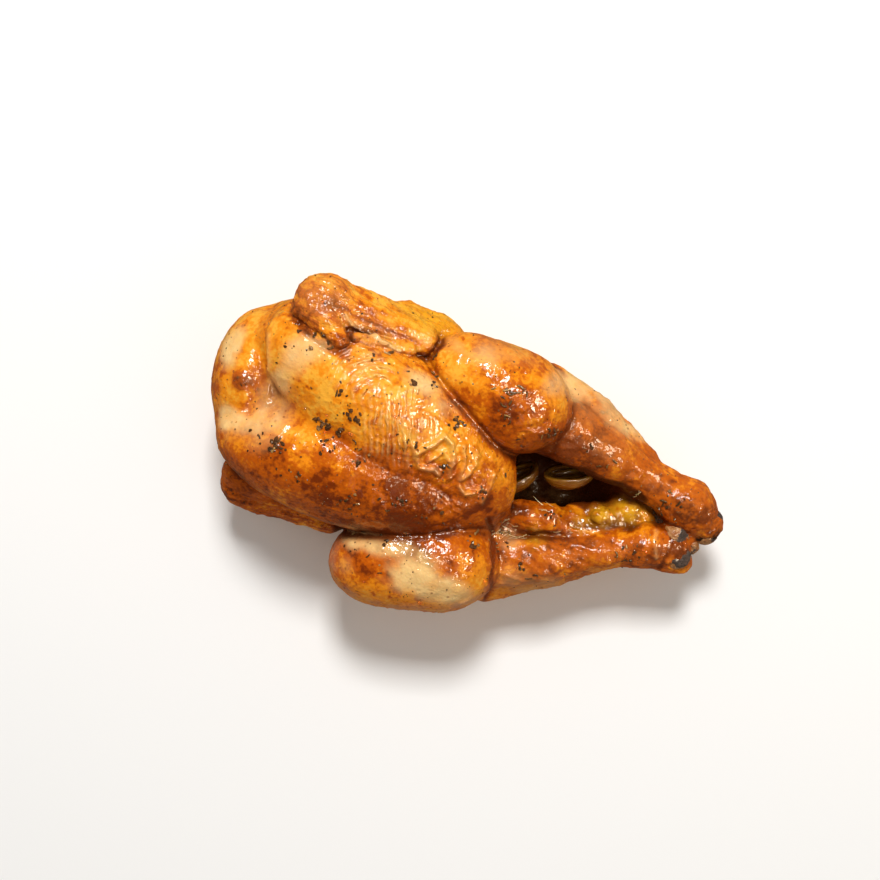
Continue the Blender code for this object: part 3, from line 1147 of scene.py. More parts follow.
@dataclass(frozen=True)
class SkinFinish:
    """Basted roast skin, with painted shade in its creases, grooves and cavity and painted highlight on its crest tops.
    """

    cream: Colour = (0.88, 0.55, 0.21)
    straw: Colour = (0.90, 0.40, 0.035)
    gold: Colour = (0.83, 0.25, 0.006)
    amber: Colour = (0.50, 0.090, 0.001)
    chestnut: Colour = (0.18, 0.023, 0.001)
    # colour of the painted shade in creases and grooves
    crease: Colour = (0.10, 0.015, 0.001)
    burnt: Colour = (0.025, 0.008, 0.004)
    fat: Colour = (0.74, 0.34, 0.010)
    pink: Colour = (0.56, 0.20, 0.05)
    rim: Colour = (0.42, 0.21, 0.125)
    # near-black of the cavity: its own darker brown with painted shade of the hollow
    hollow: Colour = (0.060, 0.010, 0.001)
    coat_roughness: float = 0.12
    subsurface: float = 0.05
    bump_height: float = 0.0006
    crest_height: float = 0.0009
    film_height: float = 0.0008
    film_scale: float = 300.0
    film_twist: float = 0.4
    sheen_tint: Colour = (1.0, 0.55, 0.20)
    pull: float = 19.0

    def make(self, effects: Effects) -> Material:
        """Build the material.

        Args:
            effects: The shared node groups.

        Returns:
            The material.
        """
        s = Shader("roast_skin")
        place = s.place()
        broad = s.group(effects.mottle, Place=place, Scale=120.0, Detail=6.0, Low=0.30, High=0.70).outputs[0]
        fine = s.group(effects.mottle, Place=place, Scale=520.0, Detail=4.0, Low=0.30, High=0.70).outputs[0]
        sinew = self._sinew(s, place)
        sinewy = s.attribute("wing")
        roast = s.plus(s.attribute("roast"), s.swing(broad, 0.22))
        roast = s.plus(roast, s.swing(fine, 0.16))
        # crest tops paler and wrinkle valleys darker: partly the stretched skin's own cream, partly painted highlight
        # and shade
        roast = s.math("SUBTRACT", roast, s.times(s.attribute("crest"), 0.10), clamp=True)
        roast = s.plus(roast, s.times(s.swing(sinew, 0.95), sinewy), clamp=True)
        drawn, streaks = self._drawn(s, place)
        drawn = s.plus(drawn, s.times(s.times(sinew, 1.6), sinewy))
        pale = s.times(s.attribute("pale"), s.plus(0.72, s.times(broad, 0.4)), clamp=True)
        # the crest tops' cream: partly their own colour, partly painted highlight
        pale = s.plus(pale, streaks, clamp=True)
        pinholes = s.group(effects.specks, Place=place, Scale=330.0, Radius=0.38, Share=0.34).outputs[0]
        spread = s.group(effects.mottle, Place=place, Scale=45.0, Detail=3.0, Low=0.42, High=0.62).outputs[0]
        lumpy = s.group(effects.mottle, Place=place, Scale=230.0, Detail=4.0, Low=0.34, High=0.52).outputs[0]
        charred = s.times(s.attribute("char"), s.plus(0.6, fine), clamp=True)
        colour = s.ramp(roast, [(0.0, self.straw), (0.20, self.straw), (0.40, self.gold),
                                (0.64, self.amber), (0.92, self.chestnut)])
        for share, layer in (
            (pale, self.cream),
            (s.times(s.attribute("pink"), 0.6), self.pink),
            (s.times(s.attribute("fat"), s.plus(0.4, s.times(lumpy, 0.6))), self.fat),
            (s.times(s.attribute("rim"), 0.6), self.rim),
            # painted shade in the creases and along the grooves
            (s.times(s.attribute("crease"), 0.85), self.crease),
            # the cavity walls: partly their own darker brown, partly painted shade of the hollow
            (s.times(s.attribute("inner"), 0.9), self.hollow),
            (s.times(pinholes, s.times(spread, 0.75)), self.chestnut),
            (charred, self.burnt),
        ):
            colour = s.mix(share, colour, (*layer, 1.0))
        s.link(colour, s.skin.inputs["Base Color"])
        self._gloss(s, broad, fine, charred)
        self._bump(s, effects.mottle, place, fine, pinholes, drawn)
        return s.material

    @staticmethod
    def _sinew(s: Shader, place: object) -> Socket:
        """Streaks that run the length of the bird, from 0 to 1.

        Args:
            s: The material's tree.
            place: Position in space.

        Returns:
            The streaks.
        """
        lengthwise = s.node("ShaderNodeMapping")
        s.link(place, lengthwise.inputs["Vector"])
        lengthwise.inputs["Rotation"].default_value = (0.0, 0.0, math.radians(14.0))
        lengthwise.inputs["Scale"].default_value = (0.13, 1.0, 1.0)
        return s.crinkle(lengthwise.outputs["Vector"], 330.0, 0.3, 3.0)

    def _drawn(self, s: Shader, place: object) -> tuple[Socket, Socket]:
        """Crests, folds and crumples of drawn skin.

        Args:
            s: The material's tree.
            place: Position in space.

        Returns:
            Their height, and how much their tops are paled: partly their own cream, partly painted highlight.
        """
        waver = s.crinkle(place, 95.0)
        arc = self._crests(s, "arc", waver, 2.2)
        chevron = self._crests(s, "chevron", waver, 3.0)
        rib = self._crests(s, "rib", waver, 1.4)
        rib = s.times(rib, s.times(s.crinkle(place, 170.0), 1.5), clamp=True)
        crumple = s.math("ABSOLUTE", s.math("SUBTRACT", s.crinkle(place, 88.0, 1.1, 1.0), 0.5))
        crumple = s.math("POWER", s.math("SUBTRACT", 1.0, s.times(crumple, 3.4), clamp=True), 1.3)
        crumple = s.times(crumple, s.attribute("crumple"))
        ridge = s.math("POWER", s.attribute("ridge"), 1.6)
        height = s.plus(s.plus(rib, arc), s.times(chevron, 0.25))
        height = s.plus(s.plus(height, s.times(ridge, 0.35)), crumple)
        # paling of rib, arc and fold crest tops: partly their own cream, partly painted highlight
        streaks = s.times(s.plus(rib, s.times(arc, 0.6)), 0.5)
        return height, s.plus(streaks, s.times(ridge, 0.25))

    @staticmethod
    def _crests(s: Shader, name: str, waver: object, sharp: float) -> Socket:
        """Crests of drawn skin that follow a mask of the mesh, from 0 to 1.

        Args:
            s: The material's tree.
            name: The mask that says how strong they are.
            waver: Noise that makes them unsteady.
            sharp: How narrow they are.

        Returns:
            Their height.
        """
        phase = s.plus(s.attribute(name + "_phase"), s.times(waver, 2.2))
        wave = s.math("COSINE", s.times(phase, 2.0 * math.pi))
        crest = s.math("POWER", s.plus(s.times(wave, 0.5), 0.5, clamp=True), sharp)
        return s.times(crest, s.attribute(name))

    def _gloss(self, s: Shader, broad: object, fine: object, charred: object) -> None:
        """Wet and dry places.

        Args:
            s: The material's tree.
            broad: Broad blotches.
            fine: Fine blotches.
            charred: How burnt each place is.
        """
        dry = s.plus(s.attribute("rim"), charred, clamp=True)
        dry = s.plus(dry, s.times(s.attribute("inner"), 0.6), clamp=True)
        rough = s.plus(0.30, s.times(broad, 0.16))
        rough = s.plus(rough, s.times(dry, 0.25), clamp=True)
        s.link(rough, s.skin.inputs["Roughness"])
        wet = s.times(s.plus(0.6, s.times(fine, 0.4)), s.math("SUBTRACT", 1.0, dry))
        wet = s.times(wet, s.plus(0.25, s.times(s.attribute("top"), 0.75)))
        s.link(wet, s.skin.inputs["Coat Weight"])
        s.set({"Coat Roughness": self.coat_roughness, "Coat IOR": 1.45, "Subsurface Weight": self.subsurface,
               "Subsurface Radius": (1.0, 0.35, 0.12), "Subsurface Scale": 0.0015, "Specular IOR Level": 0.15,
               "Specular Tint": (*self.sheen_tint, 1.0)})

    def _bump(self, s: Shader, mottle: NodeTree, place: object, fine: object,
              pinholes: object, drawn: object) -> None:
        """Crests, pores, puckers and streaks too fine for the mesh.

        Args:
            s: The material's tree.
            mottle: The blotches group.
            place: Position in space.
            fine: Fine blotches.
            pinholes: Specks.
            drawn: Height of the crests.
        """
        stretch = s.node("ShaderNodeMapping")
        s.link(place, stretch.inputs["Vector"])
        stretch.inputs["Rotation"].default_value = (0.0, 0.0, -math.radians(self.pull))
        stretch.inputs["Scale"].default_value = (1.0, 0.16, 0.6)
        tight = s.crinkle(stretch.outputs["Vector"], 480.0, 0.6)
        pores = s.node("ShaderNodeTexVoronoi", feature="SMOOTH_F1")
        s.link(place, pores.inputs["Vector"])
        pores.inputs["Scale"].default_value = 420.0
        height = s.times(s.crinkle(place, 900.0, detail=3.0), 0.5)
        height = s.plus(height, s.times(pores.outputs["Distance"], 0.35))
        height = s.plus(height, s.times(fine, 0.35))
        height = s.plus(height, s.times(pinholes, 0.25))
        height = s.plus(height, s.times(s.times(tight, 0.7), s.attribute("breast")))
        coarse = s.group(mottle, Place=place, Scale=760.0, Detail=2.0, Low=0.25, High=0.75)
        rough = s.times(s.times(coarse.outputs[0], 0.9), s.attribute("wing"))
        height = s.plus(height, rough)
        crests = s.bump(drawn, 0.8, self.crest_height)
        s.link(s.bump(height, 0.55, self.bump_height, crests), s.skin.inputs["Normal"])
        film = s.crinkle(place, self.film_scale, self.film_twist)
        s.link(s.bump(film, 0.6, self.film_height, crests), s.skin.inputs["Coat Normal"])


def to_part(points: Array) -> Array:
    """Points of the bird's frame, in millimetres, in the part's frame, in metres."""
    return (points + FRAME_SHIFT) * MILLIMETRE


def dress(piece: Piece, material: Material) -> Piece:
    """Give a piece its material and let it ride on the bird.

    Args:
        piece: The piece, in place.
        material: Its material.

    Returns:
        The piece.
    """
    piece.data.materials.clear()
    piece.data.materials.append(material)
    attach(piece, "root")
    return piece


def add_object(name: str, data: bpy.types.ID) -> Piece:
    """Put a mesh, light or camera in the scene.

    Args:
        name: The object's name.
        data: Its data.

    Returns:
        The object.
    """
    made = bpy.data.objects.new(name, data)
    bpy.context.scene.collection.objects.link(made)
    return made


def paint(mesh: Mesh, name: str, values: Array) -> None:
    """Keep one number for each of a mesh's points under a name that materials can read."""
    layer = mesh.attributes.new(name, "FLOAT", "POINT")
    layer.data.foreach_set("value", values.astype(np.float32))


class Pile:
    """Many small closed shapes joined in one mesh, each with its own tone."""

    def __init__(self) -> None:
        """Start empty."""
        self.points: list[Array] = []
        self.faces: list[list[int]] = []
        self.tones: list[Array] = []
        self.count = 0

    def add(self, points: Array, faces: list[list[int]], tone: float) -> None:
        """Add a shape.

        Args:
            points: Its places in the bird's frame, N by 3.
            faces: Its faces as lists of point numbers.
            tone: A number from 0 to 1 that its colour follows.
        """
        self.faces.extend([number + self.count for number in face] for face in faces)
        self.points.append(points)
        self.tones.append(np.full(len(points), tone))
        self.count += len(points)

    def to_object(self, name: str, smooth: bool = True) -> Piece:
        """Make one object of the whole pile.

        Args:
            name: The object's name.
            smooth: Shade it smooth.

        Returns:
            The object.
        """
        mesh = bpy.data.meshes.new(name)
        mesh.from_pydata(to_part(np.concatenate(self.points)).tolist(), [], self.faces)
        mesh.update()
        paint(mesh, "tone", np.concatenate(self.tones))
        if smooth:
            mesh.shade_smooth()
        return add_object(name, mesh)


class Surface:
    """The finished skin, to lay small things on."""

    def __init__(self, points: Array, faces: list[tuple[int, ...]]) -> None:
        """Index the skin by its places in the bird's frame and its faces."""
        self.tree = BVHTree.FromPolygons(points.tolist(), faces)

    def above(self, x: float, y: float, level: float, lowest: float) -> tuple[Array, Array] | None:
        """The highest place over a spot.

        Args:
            x: The spot's X.
            y: The spot's Y.
            level: The least Z of its normal.
            lowest: The least Z of the place.

        Returns:
            The place and its normal, or None beside the bird, on steep skin or too low.
        """
        place, normal, _, _ = self.tree.ray_cast(Vector((x, y, OVER_BIRD)), Vector((0.0, 0.0, -1.0)))
        if place is None or normal[2] < level or place[2] < lowest:
            return None
        return np.array(place), np.array(normal)

    def nearest(self, point: Triple) -> tuple[Array, Array]:
        """The place of the skin nearest to a point, and its normal."""
        place, normal, _, _ = self.tree.find_nearest(Vector(point))
        return np.array(place), np.array(normal)


def frame_on(normal: Array, spin: float) -> Array:
    """Axes as the columns of a matrix, with Z along a normal and turned about it by spin radians."""
    tilt = Vector(normal.tolist()).to_track_quat("Z", "Y").to_matrix()
    return np.array(tilt @ Matrix.Rotation(spin, 3, "Z"))


def ball(detail: int) -> tuple[Array, list[list[int]]]:
    """A round of even triangles.

    Args:
        detail: How many times the triangles are split.

    Returns:
        Its points on the unit sphere, and its faces.
    """
    shape = bmesh.new()
    bmesh.ops.create_icosphere(shape, subdivisions=detail, radius=1.0)
    points = np.array([vertex.co[:] for vertex in shape.verts])
    faces = [[vertex.index for vertex in face.verts] for face in shape.faces]
    shape.free()
    return points, faces


def blade(path: Array, widths: Array, thick: float, up: Array, sides: int = 6) -> tuple[Array, list[list[int]]]:
    """A flattened closed tube along a path.

    Args:
        path: Places along its middle, N by 3.
        widths: Half its width at each place.
        thick: Its thickness as a share of its width.
        up: The way its flat face looks.
        sides: Points round it.

    Returns:
        Its points and faces.
    """
    count = len(path)
    angles = np.linspace(0.0, 2.0 * math.pi, sides, endpoint=False)
    heading = np.gradient(path, axis=0)
    heading /= np.linalg.norm(heading, axis=1, keepdims=True) + 1e-9
    side = np.cross(heading, up)
    side /= np.linalg.norm(side, axis=1, keepdims=True) + 1e-9
    top = np.cross(side, heading)
    rings = [path[i] + widths[i] * (np.outer(np.cos(angles), side[i]) + thick * np.outer(np.sin(angles), top[i]))
             for i in range(count)]
    faces = [[i * sides + j, i * sides + (j + 1) % sides, (i + 1) * sides + (j + 1) % sides, (i + 1) * sides + j]
             for i in range(count - 1) for j in range(sides)]
    faces.append(list(range(sides))[::-1])
    faces.append(list(range((count - 1) * sides, count * sides)))
    return np.concatenate(rings), [face[::-1] for face in faces]


@dataclass(frozen=True)
class SpeckFinish:
    """Dry seasoning, coloured from dark to light by its tone."""

    name: str = "cracked_pepper"
    dark: Colour = (0.028, 0.011, 0.004)
    middle: Colour = (0.10, 0.034, 0.010)
    light: Colour = (0.40, 0.21, 0.07)
    roughness: float = 0.42

    def make(self, effects: Effects) -> Material:
        """Build the material.

        Args:
            effects: The shared node groups.

        Returns:
            The material.
        """
        s = Shader(self.name)
        grain = s.group(effects.mottle, Place=s.place(), Scale=2400.0, Detail=3.0, Low=0.35, High=0.65)
        tone = s.plus(s.attribute("tone"), s.swing(grain.outputs[0], 0.3), clamp=True)
        colour = s.ramp(tone, [(0.0, self.dark), (0.55, self.middle), (1.0, self.light)])
        s.link(colour, s.skin.inputs["Base Color"])
        s.link(s.plus(self.roughness, s.times(grain.outputs[0], 0.2)), s.skin.inputs["Roughness"])
        s.set({"Specular Tint": (1.0, 0.6, 0.3, 1.0), "Coat Weight": 0.35, "Coat Roughness": 0.14})
        s.link(s.bump(grain.outputs[0], 0.9, 0.0002), s.skin.inputs["Normal"])
        return s.material


@dataclass(frozen=True)
class Cluster:
    """A patch of seasoning on top of the bird."""

    x: float
    y: float
    count: int
    reach: float
    coarse: float = 1.0


@dataclass
class Pepper:
    """Cracked pepper: coarse pieces in clusters, and fine dust all over."""

    clusters: tuple[Cluster, ...] = (
        Cluster(-91, -19, 15, 4.2, 1.15), Cluster(-72, -1, 11, 3.8, 1.2), Cluster(-63, -2, 8, 3.0, 1.2),
        Cluster(-101, -18, 5, 2.6), Cluster(-66, 15, 4, 3.2, 1.25), Cluster(-61, 6, 6, 4.2, 1.25),
        Cluster(-55, 8, 5, 4.0, 1.3), Cluster(-85, 39, 4, 2.6, 1.1), Cluster(-98, 39, 2, 1.6, 1.2),
        Cluster(-90, 31, 2, 1.5, 1.1), Cluster(-59, 39, 3, 2.4, 1.2), Cluster(-37, 33, 3, 2.6, 1.2),
        Cluster(-28, 4, 4, 2.6, 1.3), Cluster(-8, -2, 4, 2.6, 1.2), Cluster(-102, 29, 2, 1.6),
        Cluster(-67, -12, 6, 4.2, 1.1), Cluster(-47, -13, 8, 5.0, 1.1), Cluster(-24, -22, 10, 9.0),
        Cluster(-5, -26, 8, 8.0), Cluster(-78, -30, 9, 9.0), Cluster(-46, -34, 10, 10.0),
        Cluster(-9, 22, 12, 3.6), Cluster(38, 33, 8, 3.6), Cluster(62, 32, 5, 5.0), Cluster(34, -30, 9, 4.6),
        Cluster(47, -38, 6, 3.4, 1.2), Cluster(20, -33, 5, 3.2, 1.3), Cluster(-22, -48, 5, 4.0, 1.1),
        Cluster(-38, -54, 5, 5.0), Cluster(100, -12, 7, 5.0), Cluster(112, 16, 10, 7.0),
        Cluster(16, -8, 8, 4.0), Cluster(-26, 36, 6, 3.0), Cluster(55, -8, 6, 5.0), Cluster(-30, 50, 4, 3.0),
    )
    seed: int = 4021
    dust: int = 760
    dust_size: tuple[float, float] = (0.28, 0.75)
    coarse_size: tuple[float, float] = (0.85, 1.6)

    def build(self, surface: Surface, effects: Effects) -> Piece:
        """Lay the pepper on the skin.

        Args:
            surface: The skin.
            effects: The shared node groups.

        Returns:
            The pepper.
        """
        random = np.random.default_rng(self.seed)
        pile = Pile()
        for cluster in self.clusters:
            for _ in range(cluster.count):
                x, y = random.normal((cluster.x, cluster.y), cluster.reach * 0.55)
                size = cluster.coarse * random.uniform(*self.coarse_size) * random.uniform(0.6, 1.0)
                self._drop(pile, surface, random, x, y, size)
        for _ in range(self.dust):
            x, y = random.uniform((-138, -82), (136, 76))
            size = random.uniform(*self.dust_size) * random.uniform(0.6, 1.0)
            self._drop(pile, surface, random, x, y, size)
        return dress(pile.to_object("cracked_pepper", False), SpeckFinish().make(effects))

    @staticmethod
    def _drop(pile: Pile, surface: Surface, random: np.random.Generator, x: float, y: float, size: float) -> None:
        """Drop one piece.

        Args:
            pile: Where it's kept.
            surface: The skin.
            random: Source of chance.
            x: Its X.
            y: Its Y.
            size: Its radius.
        """
        found = surface.above(x, y, 0.25, 24.0)
        if found is None:
            return
        place, normal = found
        points, faces = ball(1)
        stretch = size * random.uniform(0.65, 1.15, 3) * (1.0, 1.0, 0.7)
        points = points * random.uniform(0.72, 1.2, (len(points), 1))
        cut = random.normal(size=3)
        cut /= np.linalg.norm(cut)
        points -= np.outer(np.maximum(points @ cut - 0.35, 0.0), cut)
        axes = frame_on(normal, random.uniform(0, 6.28))
        points = (points * stretch) @ axes.T + place + normal * size * 0.22
        pile.add(points, faces, float(np.clip(random.gamma(1.3, 0.22), 0.0, 1.0)))


@dataclass
class Herbs:
    """Dried herb blades, baked dark and curled."""

    clusters: tuple[Cluster, ...] = (
        Cluster(10, 45, 5, 3.0, 1.1), Cluster(18, 47, 5, 3.4, 1.1), Cluster(12, 40, 4, 3.0),
        Cluster(16, 33, 4, 3.0), Cluster(-9, 22, 5, 3.0), Cluster(-91, 39, 2, 2.0, 1.2),
        Cluster(-80, 36, 3, 3.4, 1.2), Cluster(-68, 20, 3, 4.0), Cluster(-52, 42, 3, 3.4, 1.2),
        Cluster(-89, -18, 5, 4.0), Cluster(-71, 0, 4, 3.0), Cluster(-64, -12, 3, 3.4, 1.2),
        Cluster(-48, -6, 3, 4.0), Cluster(-7, -3, 3, 2.6), Cluster(38, 32, 5, 4.0), Cluster(33, -24, 5, 4.4),
        Cluster(18, -30, 3, 3.0), Cluster(-36, -48, 3, 3.4), Cluster(-58, -62, 1, 2.0), Cluster(60, -40, 3, 4.0),
        Cluster(108, 20, 7, 6.0, 1.1), Cluster(96, -14, 4, 5.0), Cluster(15, -6, 3, 3.0), Cluster(-26, 40, 4, 3.6),
        Cluster(-30, -30, 3, 8.0), Cluster(-101, 20, 2, 3.0), Cluster(24, 4, 2, 2.0), Cluster(70, 28, 4, 7.0),
    )
    seed: int = 977
    stray: int = 30
    share: float = 0.7

    def build(self, surface: Surface, effects: Effects) -> Piece:
        """Lay the herbs on the skin.

        Args:
            surface: The skin.
            effects: The shared node groups.

        Returns:
            The herbs.
        """
        random = np.random.default_rng(self.seed)
        pile = Pile()
        for cluster in self.clusters:
            for _ in range(max(1, round(cluster.count * self.share))):
                x, y = random.normal((cluster.x, cluster.y), cluster.reach * 0.5)
                self._drop(pile, surface, random, x, y, cluster.coarse)
        for _ in range(self.stray):
            x, y = random.uniform((-136, -80), (130, 72))
            self._drop(pile, surface, random, x, y, 0.7)
        finish = SpeckFinish("dried_herb", (0.035, 0.016, 0.005), (0.13, 0.055, 0.014), (0.50, 0.28, 0.08), 0.36)
        return dress(pile.to_object("dried_herb"), finish.make(effects))

    @staticmethod
    def _drop(pile: Pile, surface: Surface, random: np.random.Generator, x: float, y: float, scale: float) -> None:
        """Drop one blade.

        Args:
            pile: Where it's kept.
            surface: The skin.
            random: Source of chance.
            x: Its X.
            y: Its Y.
            scale: Its size.
        """
        found = surface.above(x, y, 0.3, 26.0)
        if found is None:
            return
        place, normal = found
        axes = frame_on(normal, random.uniform(0, 6.28))
        length = scale * random.uniform(1.6, 4.2)
        share = np.linspace(-0.5, 0.5, 7)
        curl = random.uniform(-0.5, 0.5)
        lift = random.uniform(0.0, 0.22)
        path = np.stack([share * length, curl * length * share ** 2 * 2.0, 0.28 + length * lift * (share ** 2)], 1)
        widths = scale * random.uniform(0.36, 0.66) * np.sqrt(np.clip(1.0 - (2.0 * share) ** 4, 0.05, 1.0))
        points, faces = blade(path, widths, 0.5, np.array((0.0, 0.0, 1.0)))
        points = points @ axes.T + place
        pile.add(points, faces, float(np.clip(random.gamma(1.6, 0.24), 0.0, 1.0)))


@dataclass(frozen=True)
class FleshFinish:
    """Torn flesh and sinew."""

    name: str = "torn_sinew"
    pale: Colour = (0.86, 0.62, 0.28)
    brown: Colour = (0.44, 0.14, 0.02)

    def make(self) -> Material:
        """Build the material.

        Returns:
            The material.
        """
        s = Shader(self.name)
        s.link(s.mix(s.attribute("tone"), (*self.pale, 1.0), (*self.brown, 1.0)), s.skin.inputs["Base Color"])
        s.set({"Roughness": 0.3, "Coat Weight": 0.7, "Coat Roughness": 0.15, "Subsurface Weight": 0.2,
               "Subsurface Scale": 0.001})
        return s.material


@dataclass
class Sinews:
    """Thin torn fibres where the leg and the vent were cut."""

    seed: int = 31
    tufts: tuple[tuple[Triple, float, float, int], ...] = (
        ((36, -21, 52), 200.0, 11.0, 15), ((44, -24, 50), 215.0, 9.0, 9), ((30, -17, 54), 190.0, 8.0, 7),
        ((52, -6, 50), 170.0, 8.0, 6), ((92, 24, 52), 250.0, 5.0, 3), ((70, -12, 44), 200.0, 9.0, 8),
    )

    def build(self, surface: Surface) -> Piece:
        """Lay the fibres.

        Args:
            surface: The skin.

        Returns:
            The fibres.
        """
        random = np.random.default_rng(self.seed)
        pile = Pile()
        for centre, heading, length, count in self.tufts:
            for _ in range(count):
                start = np.array(centre) + random.normal(size=3) * (3.4, 2.2, 0.6)
                place, normal = surface.nearest(start)
                angle = math.radians(heading + random.normal() * 24.0)
                reach = length * random.uniform(0.5, 1.1)
                share = np.linspace(0.0, 1.0, 8)[:, None]
                along = np.array((math.cos(angle), math.sin(angle), 0.0))
                along -= normal * (along @ normal)
                bend = np.cross(normal, along) * random.uniform(-0.35, 0.35)
                path = place + along * share * reach + bend * share ** 2 * reach
                path = path + normal * (0.1 + random.uniform(0.2, 1.6) * share)
                widths = random.uniform(0.11, 0.22) * (1.0 - 0.6 * share[:, 0])
                points, faces = blade(path, widths, 0.8, normal, 5)
                pile.add(points, faces, float(random.uniform(0.0, 0.6)))
        return dress(pile.to_object("torn_sinew"), FleshFinish().make())


@dataclass(frozen=True)
class BoneFinish:
    """Ankle gristle, brown below and charred where it stuck out."""

    gristle: Colour = (0.36, 0.11, 0.015)
    tan: Colour = (0.56, 0.26, 0.08)
    char: Colour = (0.030, 0.010, 0.005)
    ash: Colour = (0.11, 0.045, 0.022)

    def make(self, effects: Effects) -> Material:
        """Build the material.

        Args:
            effects: The shared node groups.

        Returns:
            The material.
        """
        s = Shader("knuckle")
        place = s.place()
        blotch = s.group(effects.mottle, Place=place, Scale=420.0, Detail=5.0, Low=0.38, High=0.62)
        grain = s.group(effects.mottle, Place=place, Scale=1500.0, Detail=4.0, Low=0.30, High=0.70)
        live = s.mix(blotch.outputs[0], (*self.gristle, 1.0), (*self.tan, 1.0))
        dead = s.mix(s.times(grain.outputs[0], blotch.outputs[0]), (*self.char, 1.0), (*self.ash, 1.0))
        edge = s.plus(s.attribute("tone"), s.swing(grain.outputs[0], 0.5), clamp=True)
        share = s.ramp(edge, [(0.42, (0.0, 0.0, 0.0)), (0.58, (1.0, 1.0, 1.0))])
        s.link(s.mix(share, live, dead), s.skin.inputs["Base Color"])
        s.link(s.plus(0.34, s.times(share, 0.3)), s.skin.inputs["Roughness"])
        s.set({"Coat Weight": 0.35, "Coat Roughness": 0.2})
        s.link(s.bump(grain.outputs[0], 0.7, 0.0006), s.skin.inputs["Normal"])
        return s.material


@dataclass(frozen=True)
class Knob:
    """A lump of gristle with a charred cap on one side."""

    centre: Triple
    radii: Triple
    yaw: float
    burnt_way: Triple
    burnt_share: float


@dataclass
class Knuckles:
    """Gristly ankle ends."""

    knobs: tuple[Knob, ...] = (
        Knob((120.8, 4.2, 46.4), (7.4, 6.8, 8.4), 10, (0.62, -0.10, 0.78), 0.80),
        Knob((124.6, -5.8, 45.2), (7.8, 8.2, 7.8), -20, (0.42, 0.12, 0.90), 0.66),
        Knob((137.2, 17.0, 42.0), (6.6, 7.0, 7.8), 30, (0.66, -0.06, 0.74), 0.62),
        Knob((136.4, 10.0, 41.0), (6.6, 6.2, 6.6), 20, (0.80, -0.20, 0.55), 0.84),
        Knob((129.8, 1.4, 41.0), (6.0, 5.2, 6.0), -20, (0.70, -0.30, 0.60), 0.84),
    )

    def build(self, effects: Effects) -> Piece:
        """Make the knobs.

        Args:
            effects: The shared node groups.

        Returns:
            The knobs as one piece.
        """
        pile = Pile()
        for number, knob in enumerate(self.knobs):
            unit, faces = ball(5)
            lumps = 1.0 + 0.10 * Noise(300 + number).layered(unit * 10.0, 7.0, 3)
            lumps += 0.05 * Noise(330 + number).layered(unit * 10.0, 2.4, 2)
            way = np.array(knob.burnt_way) / np.linalg.norm(knob.burnt_way)
            flat = np.maximum(unit @ way - 0.78, 0.0)
            shape = unit * lumps[:, None] - np.outer(flat * 0.7, way)
            shape = (shape * knob.radii) @ turn(knob.yaw).T + np.array(knob.centre)
            burnt = unit @ way + 0.22 * Noise(360 + number).layered(unit * 10.0, 6.0, 2)
            pile.add(shape, faces, 0.0)
            pile.tones[-1] = smoothstep(knob.burnt_share - 0.18, knob.burnt_share + 0.18, burnt)
        return dress(pile.to_object("ankle_knuckles"), BoneFinish().make(effects))


@dataclass(frozen=True)
class OnionFinish:
    """Soft roasted onion."""

    flesh: Colour = (0.30, 0.105, 0.005)
    edge: Colour = (0.42, 0.18, 0.013)
    stain: Colour = (0.20, 0.05, 0.003)

    def make(self, effects: Effects) -> Material:
        """Build the material.

        Args:
            effects: The shared node groups.

        Returns:
            The material.
        """
        s = Shader("roast_onion")
        place = s.place()
        stains = s.group(effects.mottle, Place=place, Scale=160.0, Detail=4.0, Low=0.40, High=0.66)
        veins = s.math("PINGPONG", s.attribute("vein"), 1.0)
        colour = s.mix(s.times(veins, 0.35), (*self.flesh, 1.0), (*self.edge, 1.0))
        colour = s.mix(s.attribute("tone"), colour, (*self.edge, 1.0))
        colour = s.mix(s.times(stains.outputs[0], 0.7), colour, (*self.stain, 1.0))
        s.link(colour, s.skin.inputs["Base Color"])
        s.set({"Roughness": 0.24, "Coat Weight": 0.8, "Coat Roughness": 0.12, "Subsurface Weight": 0.45,
               "Subsurface Radius": (1.0, 0.6, 0.2), "Subsurface Scale": 0.003})
        s.link(s.bump(veins, 0.4, 0.0004), s.skin.inputs["Normal"])
        return s.material


